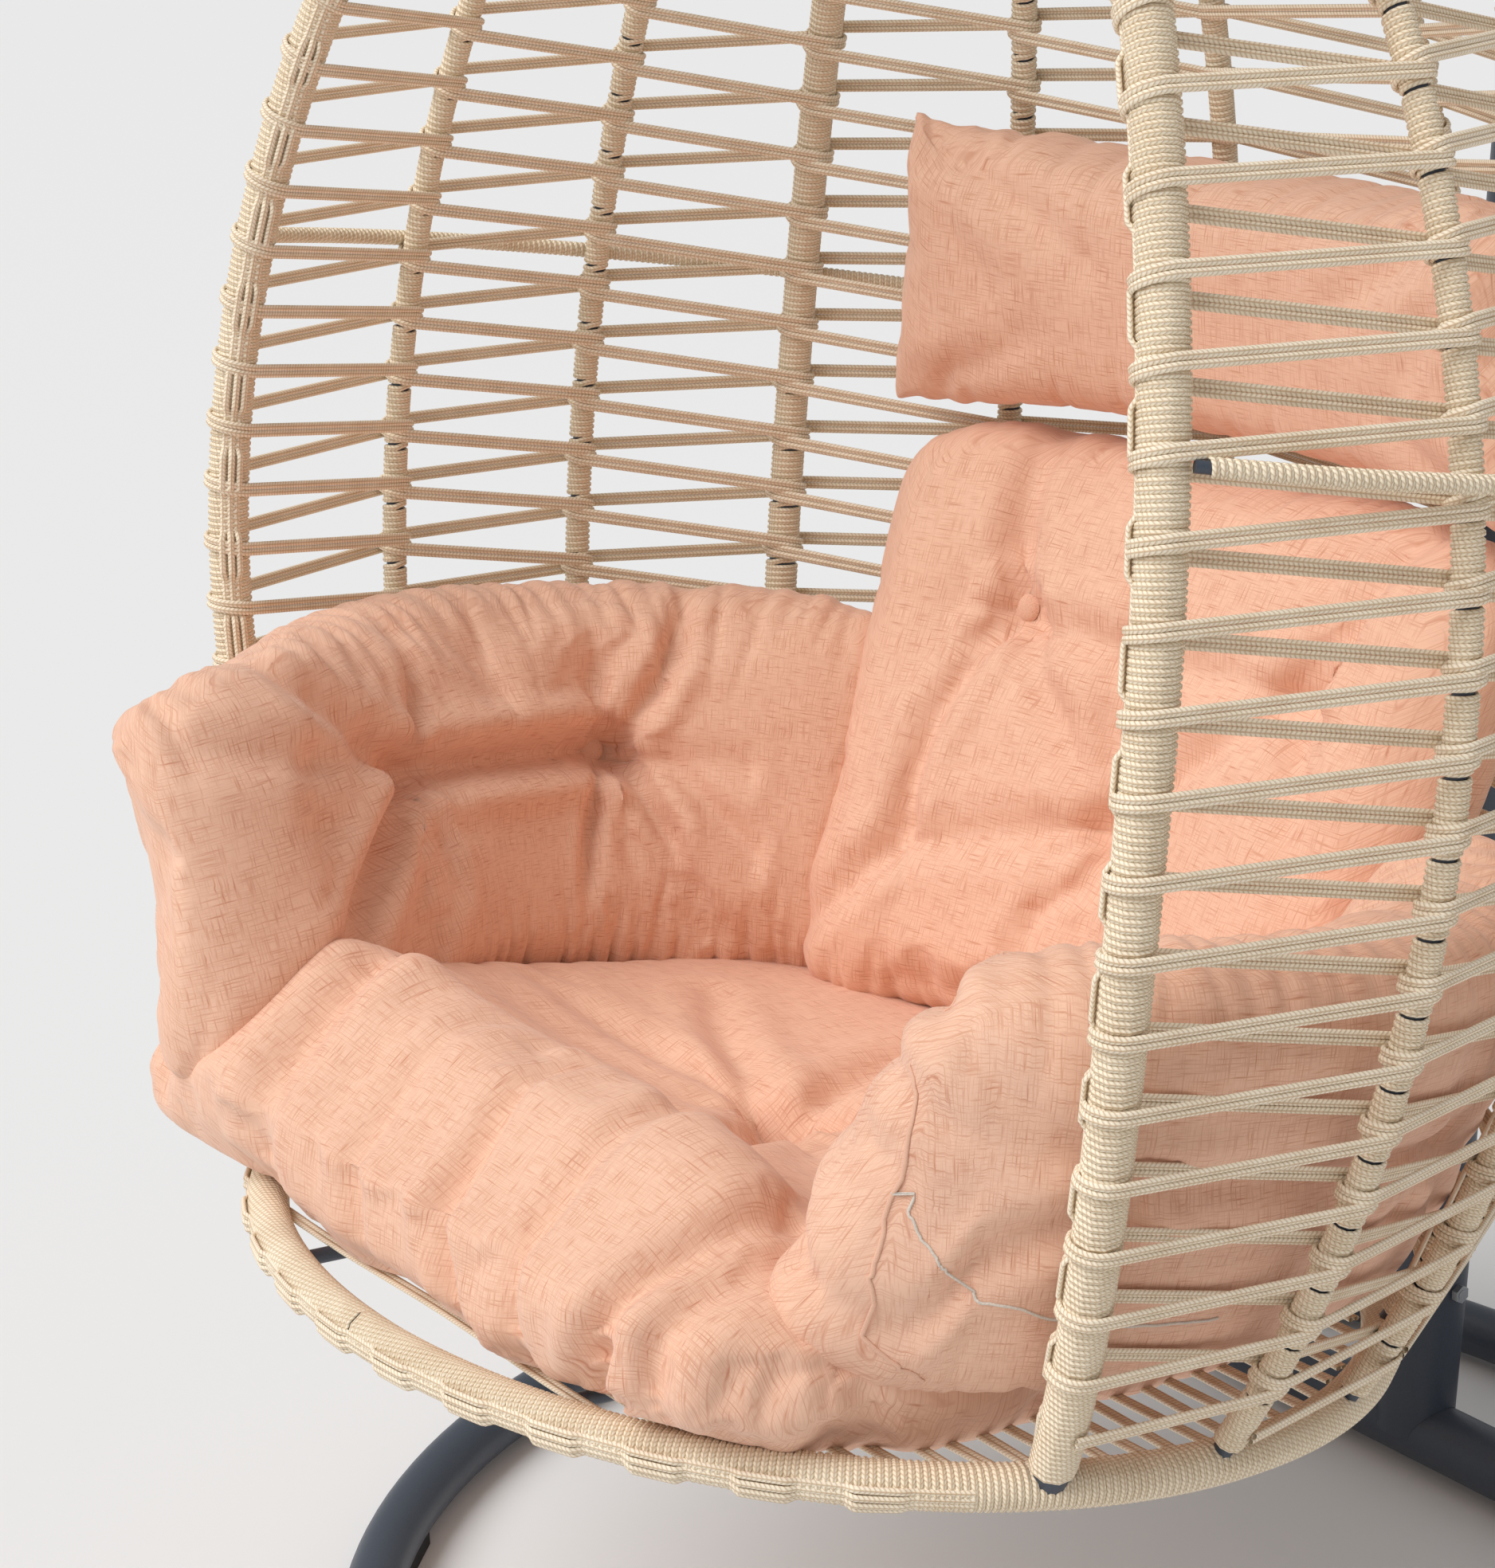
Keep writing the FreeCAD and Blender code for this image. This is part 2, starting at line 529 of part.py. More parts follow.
def link_wire():
    """An oval in the Y-Z plane: two half turns and two straights."""
    left = Y_AXIS * -link_bend
    right = Y_AXIS * link_bend
    top = hang + Z_AXIS * link_top
    low = hang + Z_AXIS * link_bottom
    upper = Part.Arc(top + left, top + Z_AXIS * link_bend, top + right).toShape()
    lower = Part.Arc(low + right, low - Z_AXIS * link_bend, low + left).toShape()
    sides = [Part.LineSegment(top + right, low + right).toShape(),
             Part.LineSegment(low + left, top + left).toShape()]
    return Part.Wire([upper, sides[0], lower, sides[1]])


keep(shaped("link", rod(link_wire(), size("link_bar") / 2)), "hanger_link")

swing_z = link_bottom - link_bend + size("link_bar") / 2 + FIT + size("swivel_bar") / 2
swivel_eye_z = swing_z - (size("swivel_hole") + size("swivel_bar")) / 2
barrel_top = swivel_eye_z - size("swivel_hole") / 2 - size("swivel_bar") / 4
barrel_bottom = barrel_top - size("barrel_height")
swivel_ring = ring_bar("swivel_ring", hang + Z_AXIS * swivel_eye_z, "swivel_hole", "swivel_bar", Y_AXIS)
barrel = bound("Part::Cylinder", "barrel", Placement(hang + Z_AXIS * barrel_bottom, Rotation()),
               Radius="sizes.barrel_dia / 2", Height="sizes.barrel_height")
barrel_bore = bound("Part::Cylinder", "barrel_bore", Placement(hang + Z_AXIS * barrel_bottom, Rotation()),
                    Radius="sizes.stem_dia / 2 + sizes.pivot_gap",
                    Height="sizes.barrel_floor + sizes.fit_gap")
chamber = bound("Part::Cylinder", "chamber",
                Placement(hang + Z_AXIS * (barrel_bottom + size("barrel_floor")), Rotation()),
                Radius="sizes.stem_head_dia / 2 + sizes.fit_gap",
                Height="sizes.stem_head_height + 2 * sizes.fit_gap")
swivel_solid = join("swivel_solid", [swivel_ring, barrel])
keep(cut("swivel_barrel", swivel_solid, join("swivel_hollow", [barrel_bore, chamber])), "swivel_eye")

flange_z = barrel_bottom - size("stem_drop") - size("plug_flange_height")
head_z = barrel_bottom + size("barrel_floor") + FIT
stem = bound("Part::Cylinder", "stem", Placement(hang + Z_AXIS * flange_z, Rotation()),
             Radius="sizes.stem_dia / 2")
stem.Height = head_z - flange_z
stem_head = bound("Part::Cylinder", "stem_head", Placement(hang + Z_AXIS * head_z, Rotation()),
                  Radius="sizes.stem_head_dia / 2", Height="sizes.stem_head_height")
CORE_RADIUS = "(sizes.spring_mean_dia - sizes.spring_wire) / 2 - sizes.fit_gap"
top_flange = bound("Part::Cylinder", "top_flange", Placement(hang + Z_AXIS * flange_z, Rotation()),
                   Radius="sizes.plug_flange_dia / 2", Height="sizes.plug_flange_height")
top_core = bound("Part::Cylinder", "top_core",
                 Placement(hang + Z_AXIS * (flange_z - size("plug_core_height")), Rotation()),
                 Radius=CORE_RADIUS, Height="sizes.plug_core_height")
keep(join("swivel_plug", [stem, stem_head, top_flange, top_core]), "swivel_stem")

coil_radius = size("spring_mean_dia") / 2
coil_rise = size("spring_turns") * size("spring_pitch")
coil_top = flange_z - FIT - size("spring_wire") / 2
coil_bottom = coil_top - coil_rise


def coil_point(turns):
    """A point of the spring's helix, counted in turns from its lower end."""
    angle = 2 * math.pi * turns
    return hang + Vector(coil_radius * math.cos(angle), coil_radius * math.sin(angle),
                         coil_bottom + size("spring_pitch") * turns)


QUARTERS = 4
coil_stations = spaced(0, size("spring_turns"), int(size("spring_turns") * QUARTERS) + 1)
coil_wire = curve_wire(coil_point, coil_stations)
keep(shaped("coil", rod(coil_wire, size("spring_wire") / 2)), "hanger_spring")

plug_z = coil_bottom - size("spring_wire") / 2 - FIT - size("plug_flange_height")
low_flange = bound("Part::Cylinder", "low_flange", Placement(hang + Z_AXIS * plug_z, Rotation()),
                   Radius="sizes.plug_flange_dia / 2", Height="sizes.plug_flange_height")
low_core = bound("Part::Cylinder", "low_core", Placement(hang + Z_AXIS * plug_z, Rotation()),
                 Radius=CORE_RADIUS, Height="sizes.plug_flange_height + sizes.plug_core_height")
hook_z = plug_z - size("hook_bar") / 4 - size("hook_hole") / 2
hook_ring = ring_bar("hook_ring", hang + Z_AXIS * hook_z, "hook_hole", "hook_bar", X_AXIS)
keep(join("spring_foot", [low_flange, low_core, hook_ring]), "spring_plug")


# Egg: half width and half depth at a height, from three tangent arcs

def egg_half(height, foot, belly, shoulder, top):
    """Half size of the egg at a height, for one direction."""
    belly_at = size("belly_height")
    shoulder_at = size("shoulder_height")
    crown_at = size("crown_height")
    if height <= belly_at:
        swell = belly - foot
        radius = (swell ** 2 + belly_at ** 2) / (2 * swell)
        return belly - radius + math.sqrt(radius ** 2 - (belly_at - height) ** 2)
    swell = belly - shoulder
    rise = shoulder_at - belly_at
    radius = (swell ** 2 + rise ** 2) / (2 * swell)
    if height <= shoulder_at:
        return belly - radius + math.sqrt(radius ** 2 - (height - belly_at) ** 2)
    lean = math.asin(rise / radius)
    inward = (-math.cos(lean), -math.sin(lean))
    chord = (top - shoulder, crown_at - shoulder_at)
    crown = (chord[0] ** 2 + chord[1] ** 2) / (2 * (chord[0] * inward[0] + chord[1] * inward[1]))
    centre = (shoulder + crown * inward[0], shoulder_at + crown * inward[1])
    return centre[0] + math.sqrt(crown ** 2 - (height - centre[1]) ** 2)


hub_radius = size("hub_dia") / 2
crown_radius = hub_radius - size("hub_wall")
hub_y = (size("hang_set_back") - size("crown_height") * math.sin(TILT)) / math.cos(TILT)


def egg_point(angle, height, outward=0):
    """A point of the egg: degrees from the front, height above the ring, distance outside."""
    turn = math.radians(angle)
    half_width = egg_half(height, size("ring_half_width"), size("belly_half_width"),
                          size("shoulder_half_width"), crown_radius) + outward
    half_depth = egg_half(height, size("ring_half_depth"), size("belly_half_depth"),
                          size("shoulder_half_depth"), crown_radius) + outward
    climb = max(0, height - size("shoulder_height")) / (size("crown_height") - size("shoulder_height"))
    return Vector(half_width * math.sin(turn), -half_depth * math.cos(turn) + hub_y * climb ** 2, height)


def rim_angle(height):
    """The front rims bow forwards from their feet to the belly."""
    below = max(0, 1 - height / size("belly_height"))
    return size("rim_belly_angle") + (size("rim_foot_angle") - size("rim_belly_angle")) * below ** 2


RIBS_A_SIDE = 5
MAIN_RIB = 3
uprights = []
for side, word in ((-1, "left"), (1, "right")):
    uprights.append((f"rim_{word}", side, None, size("rim_tube_dia") / 2))
    for i in range(RIBS_A_SIDE):
        number = i + 1
        kind = "main" if number == MAIN_RIB else "thin"
        angle = size("rib_first_angle") + i * size("rib_pitch_angle")
        uprights.append((f"rib_{word}_{number}", side, angle, size(f"{kind}_rib_dia") / 2))


def upright_curve(side, angle):
    """The centre line of a rim or rib as a function of height."""
    return lambda height: egg_point(side * (rim_angle(height) if angle is None else angle), height)


UPRIGHT_SHARES = (0, 0.13, 0.27, 0.4, 0.56, 0.72, 0.86, 0.95, 1)


def upright_stations(low, high):
    """Heights at which an upright's arcs join, closer together in the crown."""
    return [low + (high - low) * share for share in UPRIGHT_SHARES]


def ring_curve(angle):
    """The bottom ring's centre line, by degrees from the front."""
    return egg_point(angle, 0)


ring_radius = size("ring_tube_dia") / 2
RING_ARCS = 17
ring_path = curve_wire(ring_curve, spaced(-180, 180, RING_ARCS), closed=True)
ring_solid = rod(ring_path, ring_radius).cut(rod(ring_path, ring_radius - size("tube_wall")))
keep(shaped("bottom_ring_tube", ring_solid, basket), "bottom_ring")
ring_clear = rod(ring_path, ring_radius + WELD)

hub_low = size("crown_height") - size("hub_thickness") / 2
hub_place = Vector(0, hub_y, hub_low)
hub_at = basket.multiply(Placement(hub_place, Rotation()))
hub_blank = bound("Part::Cylinder", "hub_blank", hub_at, Radius="sizes.hub_dia / 2",
                  Height="sizes.hub_thickness")
hub_hollow = bound("Part::Cylinder", "hub_hollow", hub_at, Radius="sizes.hub_dia / 2 - sizes.hub_wall",
                   Height="sizes.hub_thickness - sizes.hub_wall")
keep(cut("hub", hub_blank, hub_hollow), "crown_hub")
hub_clear = Part.makeCylinder(hub_radius + WELD, size("hub_thickness") * 2,
                              hub_place - Z_AXIS * size("hub_thickness") / 2)

foot_start = ring_radius / 2
crown_stop = size("crown_height") - size("tube_wall")
for name, side, angle, radius in uprights:
    path = curve_wire(upright_curve(side, angle), upright_stations(foot_start, crown_stop))
    tube = pipe(path, radius, radius - size("tube_wall")).cut(ring_clear).cut(hub_clear)
    keep(shaped(f"{name}_tube", largest(tube), basket), name)


# Middle hoop: a rod outside the ribs, from rim to rim round the back

hoop_radius = size("hoop_rod_dia") / 2
hoop_wrap = hoop_radius + size("hoop_rope")
hoop_out = size("main_rib_dia") / 2 + FIT + hoop_radius


def hoop_point(angle):
    """The hoop's centre line, by degrees from the front; it falls towards the back."""
    height = size("hoop_height") + size("hoop_dip") * math.cos(math.radians(angle))
    return egg_point(angle, height, hoop_out)


hoop_from = rim_angle(size("hoop_height")) + math.degrees(
    (size("rim_tube_dia") / 2 + FIT) / size("belly_half_depth"))
HOOP_ARCS = 13
hoop_path = curve_wire(hoop_point, spaced(hoop_from, 360 - hoop_from, HOOP_ARCS))
keep(shaped("hoop_rod", rod(hoop_path, hoop_radius), basket), "middle_hoop")


# Wound rope: a sleeve on every tube, left open where another tube meets it

def wound(curve, stations, tube_radius, rope):
    """A sleeve of rope round one stretch of tube."""
    return pipe(curve_wire(curve, stations), tube_radius + rope, tube_radius + size("wrap_gap"))


rope = size("rope_thickness")
LOWER_ARCS = 5
SHORT_ARCS = 3
SHORTEST_WRAP = 2
crown_wrap_end = size("crown_height") - size("wrap_stop")
for word in ("left", "right"):
    sleeves = []
    for name, side, angle, radius in uprights:
        if word not in name:
            continue
        curve = upright_curve(side, angle)
        hoop_at = size("hoop_height") + size("hoop_dip") * math.cos(math.radians(
            angle or size("rim_belly_angle")))
        window = hoop_wrap + 2 * FIT
        low = ring_wrap + rope
        sleeves.append(wound(curve, spaced(low, hoop_at - window, LOWER_ARCS), radius, rope))
        sleeves.append(wound(curve, upright_stations(hoop_at + window, crown_wrap_end), radius, rope))
    keep(shaped(f"uprights_rope_{word}", Part.makeCompound(sleeves), basket), f"rope_wrap_{word}")

bar_x = size("floor_bar_pitch") / 2
bar_angle = math.degrees(math.asin(bar_x / size("ring_half_width")))
bar_clear = size("floor_bar_dia") / 2 + ring_wrap * math.tan(math.radians(bar_angle)) + rope
ring_stops = [(angle, bar_clear) for angle in (-bar_angle, bar_angle, 180 - bar_angle, 180 + bar_angle)]
for name, side, angle, radius in uprights:
    foot_angle = side * (size("rim_foot_angle") if angle is None else angle)
    ring_stops.append((foot_angle % 360, radius + rope))
ring_stops = sorted((angle % 360, half) for angle, half in ring_stops)
ring_sleeves = []
for i, (angle, half) in enumerate(ring_stops):
    following, next_half = ring_stops[(i + 1) % len(ring_stops)]
    start = angle + math.degrees((half + 2 * FIT) / size("ring_half_depth"))
    end = following + (360 if i + 1 == len(ring_stops) else 0)
    end -= math.degrees((next_half + 2 * FIT) / size("ring_half_depth"))
    if end - start > SHORTEST_WRAP:
        ring_sleeves.append(wound(ring_curve, spaced(start, end, SHORT_ARCS), ring_radius, rope))
keep(shaped("ring_rope", Part.makeCompound(ring_sleeves), basket), "rope_wrap_ring")

hoop_stops = [hoop_from] + sorted((side * angle) % 360 for name, side, angle, radius in uprights if angle)
hoop_stops.append(360 - hoop_from)
hoop_window = math.degrees((size("main_rib_dia") / 2 + rope + 2 * FIT) / size("belly_half_depth"))
hoop_sleeves = []
for angle, following in zip(hoop_stops, hoop_stops[1:]):
    stretch = spaced(angle + hoop_window, following - hoop_window, SHORT_ARCS)
    hoop_sleeves.append(wound(hoop_point, stretch, hoop_radius, size("hoop_rope")))
keep(shaped("hoop_rope_sleeves", Part.makeCompound(hoop_sleeves), basket), "rope_wrap_hoop")


# Floor bars under the woven floor, from the front of the ring to its back

bar_radius = size("floor_bar_dia") / 2
bar_z = -size("strap_thickness") / 2 - FIT - bar_radius
floor_bars = []
for x in (-bar_x, bar_x):
    reach = size("ring_half_depth") * math.cos(math.radians(bar_angle))
    bar = Part.makeCylinder(bar_radius, 2 * reach, Vector(x, -reach, bar_z), Y_AXIS)
    floor_bars.append(largest(bar.cut(ring_clear)))
keep(shaped("floor_rods", Part.makeCompound(floor_bars), basket), "floor_bars")


# Woven bands: one flat zigzag in each gap between uprights, and one for the floor

def strap(corners, normals):
    """A flat band through mitred corners: a ruled loft of its four-cornered sections."""
    half = size("strap_width") / 2
    thick = size("strap_thickness") / 2
    sections = []
    last = len(corners) - 1
    for i, (corner, normal) in enumerate(zip(corners, normals)):
        before = (corner - corners[i - 1]).normalize() if i else None
        after = (corners[i + 1] - corner).normalize() if i < last else None
        before = before or after
        after = after or before
        side = (before.cross(normal).normalize() + after.cross(normal).normalize()).normalize()
        across = side * (half / side.dot(before.cross(normal).normalize()))
        off = normal * thick
        ring = [corner + across + off, corner - across + off, corner - across - off, corner + across - off]
        sections.append(Part.makePolygon(ring + ring[:1]))
    return Part.makeLoft(sections, True, True)


def zigzag(left_edge, right_edge, first, last):
    """Corner places of a band that crosses from edge to edge and steps along at each turn."""
    turn = size("strap_turn")
    cross_rise = size("weave_period") / 2 - turn
    places = []
    at = first
    edge = 0
    while at + cross_rise + turn < last:
        places += [(edge, at), (edge, at + turn)]
        at += turn + cross_rise
        edge = 1 - edge
    edges = (left_edge, right_edge)
    return [edges[edge](at) for edge, at in places]


PANEL_STEPS = 200


def panel_strap(first_curve, first_radius, second_curve, second_radius):
    """The band between two neighbouring uprights."""
    steps = spaced(size("weave_start"), crown_stop, PANEL_STEPS)
    middles = [(first_curve(z) + second_curve(z)) * 0.5 for z in steps]
    lengths = [0]
    for low, high in zip(middles, middles[1:]):
        lengths.append(lengths[-1] + (high - low).Length)

    def height_at(length):
        """Height of the place that lies this far along the panel."""
        i = min(range(len(lengths) - 1), key=lambda k: abs(lengths[k] - length))
        i = i - 1 if lengths[i] > length else i
        share = (length - lengths[i]) / (lengths[i + 1] - lengths[i])
        return steps[i] + share * (steps[i + 1] - steps[i])

    def edge(near, far, radius):
        """Corner places beside one upright, clear of its rope."""
        inset = radius + rope + FIT + size("strap_width") / 2

        def corner(length):
            """A place beside the upright; where it leans, the band stands further off."""
            z = height_at(length)
            way = (far(z) - near(z)).normalize()
            lean = (near(z + 1) - near(z - 1)).normalize()
            return near(z) + way * (inset / way.cross(lean).Length)
        return corner

    corners = zigzag(edge(first_curve, second_curve, first_radius),
                     edge(second_curve, first_curve, second_radius), 0, lengths[-1] - size("weave_stop"))
    normals = []
    for corner in corners:
        z = corner.z
        up = (first_curve(z + 1) + second_curve(z + 1) - first_curve(z) - second_curve(z)).normalize()
        normals.append((second_curve(z) - first_curve(z)).cross(up).normalize())
    return strap(corners, normals)


order = [u for u in uprights if u[1] > 0] + [u for u in reversed(uprights) if u[1] < 0]
for near, far in zip(order, order[1:]):
    near_curve = upright_curve(near[1], near[2])
    far_curve = upright_curve(far[1], far[2])
    band = panel_strap(near_curve, near[3], far_curve, far[3])
    label = "weave_" + (near[0] if near[1] > 0 else far[0])
    if near[1] != far[1]:
        label = "weave_back"
    keep(shaped(f"{label}_band", band, basket), label)

floor_inset = ring_wrap + FIT + size("strap_width")
floor_reach = size("ring_half_depth") - floor_inset


def floor_turn(row):
    """The two corners of one turn of the floor band, left and right in turn."""
    near = size("floor_margin") - floor_reach + row * size("weave_period") / 2
    far = near + size("strap_turn")
    outermost = max(abs(near), abs(far))
    half = (size("ring_half_width") - floor_inset) * math.sqrt(1 - (outermost / floor_reach) ** 2)
    side = 1 if row % 2 else -1
    return [Vector(side * half, near, 0), Vector(side * half, far, 0)]


floor_rows = int((2 * (floor_reach - size("floor_margin")) - size("strap_turn")) / size("weave_period") * 2)
floor_places = [corner for row in range(floor_rows) for corner in floor_turn(row)]
keep(shaped("floor_band", strap(floor_places, [Z_AXIS] * len(floor_places)), basket), "weave_floor")


# Bail: a bent bar on the crown hub that the basket ring carries

bail_z = hook_z - size("hook_hole") / 2 + FIT + size("bail_bar") / 2
hub_world = basket.multVec(Vector(0, hub_y, size("crown_height")))
bail_bend = size("bail_width") / 2
bail_foot = hub_world.z
top = hang + Z_AXIS * (bail_z - bail_bend)
legs = [Part.LineSegment(Vector(-bail_bend, hang_y, bail_foot), top - X_AXIS * bail_bend).toShape(),
        Part.Arc(top - X_AXIS * bail_bend, top + Z_AXIS * bail_bend, top + X_AXIS * bail_bend).toShape(),
        Part.LineSegment(top + X_AXIS * bail_bend, Vector(bail_bend, hang_y, bail_foot)).toShape()]
hub_world_clear = Part.makeCylinder(hub_radius + WELD, size("hub_thickness") + 2 * WELD,
                                    hub_place - Z_AXIS * WELD)
hub_world_clear.Placement = basket
bail = rod(Part.Wire(legs), size("bail_bar") / 2).cut(hub_world_clear)
keep(shaped("bail", largest(bail)), "basket_bail")
print(f"bail: {bail_z - bail_foot:.0f} mm above the hub's middle")


# Cushions: crowned sections carried along the basket's wall

# Shares of half a cushion: its corner's radius, and its face and edge beside the crown
CORNER_SHARE = 0.55
FACE_SHARE = 0.86
EDGE_SHARE = 0.97
KNEE_SHARE = 0.7 * (1 - math.sqrt(0.5))


def crowned_section(centre, inward, up, thickness, height):
    """A closed outline of eight arcs: crowned faces, rounded corners and soft edges."""
    half_thick = thickness / 2
    half_high = height / 2
    corner = min(half_thick, half_high) * CORNER_SHARE
    face = half_thick * FACE_SHARE
    edge = half_high * EDGE_SHARE
    knee = corner * KNEE_SHARE
    right = [(half_high - corner, face), (edge - knee, face - knee), (edge, face - corner),
             (half_high, 0), (edge, corner - face), (edge - knee, knee - face),
             (half_high - corner, -face)]
    outline = [(0, half_thick)] + right + [(0, -half_thick)] + [(-p, q) for p, q in reversed(right)]
    points = [centre + up * p + inward * q for p, q in outline]
    points.append(points[0])
    points.append(points[1])
    arcs = [Part.Arc(points[i], points[i + 1], points[i + 2]).toShape() for i in range(1, len(points) - 2, 2)]
    return Part.Wire(arcs)


# Places along a cushion and the fullness there; the last of its height stays at the ends
END_SHARES = ((0, 0.34), (0.06, 0.78), (0.2, 0.98), (0.5, 1), (0.8, 0.98), (0.94, 0.78), (1, 0.34))
END_HEIGHT = 0.25
HEIGHT_NUDGE = 5
ANGLE_NUDGE = 0.5


def wall_frame(angle, height, inside):
    """Place, inward way and upward way on the egg's wall, a distance inside it."""
    low = egg_point(angle, height - HEIGHT_NUDGE)
    high = egg_point(angle, height + HEIGHT_NUDGE)
    up = (high - low).normalize()
    side = (egg_point(angle + ANGLE_NUDGE, height) - egg_point(angle - ANGLE_NUDGE, height)).normalize()
    inward = up.cross(side).normalize()
    if inward.dot(Vector(0, hub_y, height) - low) < 0:
        inward = inward * -1
    return egg_point(angle, height) + inward * inside, inward, up


def wall_cushion(frames, thickness, height):
    """A cushion lofted through crowned sections that shrink towards both ends."""
    sections = []
    for (centre, inward, up), (share, scale) in zip(frames, END_SHARES):
        sections.append(crowned_section(centre, inward, up, thickness * scale,
                                        height * (END_HEIGHT + (1 - END_HEIGHT) * scale)))
    return Part.makeLoft(sections, True, False)


def tufted(shape, sites):
    """Press a shallow round hollow into the cushion at each sewn place."""
    ball = size("tuft_radius")
    for place, inward in sites:
        shape = shape.cut(Part.makeSphere(ball, place + inward * (ball - size("tuft_depth"))))
    return largest(shape)


def button_at(place, inward):
    """A covered button that sits on the bottom of its tuft."""
    radius = size("button_dia") / 2
    ball = size("tuft_radius")
    rise = ball - math.sqrt(ball ** 2 - radius ** 2)
    start = place - inward * (size("tuft_depth") - rise - FIT)
    disc = Part.makeCylinder(radius, size("button_height"), start, inward)
    return disc.makeFillet(size("button_round"), [disc.Edges[0]])


rim_wrap = size("rim_tube_dia") / 2 + rope
arm_inside = rim_wrap + size("cushion_gap") + size("arm_thickness") / 2 - size("arm_settle")
buttons = []
for side, word in ((-1, "left"), (1, "right")):
    middle = size(f"arm_middle_{word}")
    rim_frame = wall_frame(side * size("rim_belly_angle"), middle, arm_inside)
    next_place = wall_frame(side * (size("rim_belly_angle") - ANGLE_NUDGE), middle, arm_inside)[0]
    ahead = (next_place - rim_frame[0]).normalize()
    wall_span = size("arm_end_angle") - size("rim_belly_angle")
    wall_length = math.radians(wall_span) * (size("belly_half_width") + size("belly_half_depth")) / 2
    total = wall_length + size("arm_reach")

    def arm_frame(run):
        """The arm cushion's frame, behind the rim along the wall, before it turning outwards."""
        if run >= 0:
            angle = size("rim_belly_angle") + wall_span * run / wall_length
            return wall_frame(side * angle, middle, arm_inside)
        centre, inward, up = rim_frame
        flare = math.radians(size("arm_flare"))
        bend = (size("arm_reach") - size("arm_lead")) / flare
        straight = min(-run, size("arm_lead"))
        turn = (-run - straight) / bend
        bent = ahead * math.sin(turn) - inward * (1 - math.cos(turn))
        return (centre + ahead * straight + bent * bend,
                inward * math.cos(turn) + ahead * math.sin(turn), up)

    frames = [arm_frame(share * total - size("arm_reach")) for share, scale in END_SHARES]
    arm = wall_cushion(frames, size("arm_thickness"), size("arm_height"))
    sites = []
    for offset in (-0.5, 0.5):
        centre, inward, up = arm_frame(size("arm_buttons_back") + offset * size("button_spread"))
        sites.append((centre + inward * size("arm_thickness") / 2, inward))
    keep(shaped(f"{word}_arm", tufted(arm, sites), basket), f"arm_cushion_{word}")
    buttons += [button_at(*site) for site in sites]


back_gap = 180 - size("rib_first_angle") - (RIBS_A_SIDE - 1) * size("rib_pitch_angle")
panel_sag = size("belly_half_depth") * (1 - math.cos(math.radians(back_gap))) + rope


def back_pad(kind):
    """A cushion on the back wall: the back cushion or the head pillow."""
    span = size(f"{kind}_half_angle")
    inside = panel_sag + size(f"{kind}_clear") + size(f"{kind}_thickness") / 2
    frames = [wall_frame(180 - span + 2 * span * share, size(f"{kind}_middle"), inside)
              for share, scale in END_SHARES]
    return frames, wall_cushion(frames, size(f"{kind}_thickness"), size(f"{kind}_height"))


back_frames, back_shape = back_pad("back")
back_sites = []
upper_left, lower_middle, upper_right = back_frames[2:5]
for (centre, inward, up), rise in ((upper_left, size("back_button_rise")),
                                   (upper_right, size("back_button_rise")),
                                   (lower_middle, -size("back_button_drop"))):
    back_sites.append((centre + inward * size("back_thickness") / 2 + up * rise, inward))
keep(shaped("back", tufted(back_shape, back_sites), basket), "back_cushion")
buttons += [button_at(*site) for site in back_sites]
pillow_frames, pillow_shape = back_pad("pillow")
keep(shaped("pillow", pillow_shape, basket), "head_pillow")

seat_floor = size("strap_thickness") / 2 + size("cushion_gap") / 2

# Seat outline, fore and aft: shares of its depth from the front, then of its height there
SEAT_UNDER = (0.10, 0.92)
SEAT_BACK_EDGE = (1, 0.5)
SEAT_TOP_BACK = (0.90, 0.96)
SEAT_TOP = (0.68, 1.02)
SEAT_DISH = (0.44, 1)
SEAT_HOLLOW = 0.03
SEAT_ROLL = (0.20, 1)
SEAT_NOSE = (0, 0.46)
# How much of the depth, roll and thickness is left at the seat's two ends
END_DEPTH = 0.36
END_ROLL = 0.5
END_THICKNESS = 0.62
END_POWER = 7


def seat_section(x):
    """A fore and aft outline of the seat: flat below, dished on top, with a roll in front."""
    share = min(1, abs(x) / size("seat_half_width"))
    spread = math.sqrt(1 - (1 - END_DEPTH) * share ** END_POWER)
    front = -size("seat_front") * spread
    depth = (size("seat_back") + size("seat_front")) * spread
    roll = size("seat_roll") * (END_ROLL + (1 - END_ROLL) * spread)
    middle = size("seat_thickness") * (END_THICKNESS + (1 - END_THICKNESS) * spread)

    def place(shares, height):
        """A point of the outline."""
        return Vector(x, front + depth * shares[0], seat_floor + height * shares[1])

    under = [Vector(x, front + depth * share, seat_floor) for share in SEAT_UNDER]
    top_back = place(SEAT_TOP_BACK, middle)
    dish = place(SEAT_DISH, middle)
    crest = place(SEAT_ROLL, roll)
    rise = (dish + crest) * 0.5 + Vector(0, -depth, middle) * SEAT_HOLLOW
    return Part.Wire([Part.LineSegment(*under).toShape(),
                      Part.Arc(under[1], place(SEAT_BACK_EDGE, middle), top_back).toShape(),
                      Part.Arc(top_back, place(SEAT_TOP, middle), dish).toShape(),
                      Part.Arc(dish, rise, crest).toShape(),
                      Part.Arc(crest, place(SEAT_NOSE, roll), under[0]).toShape()])


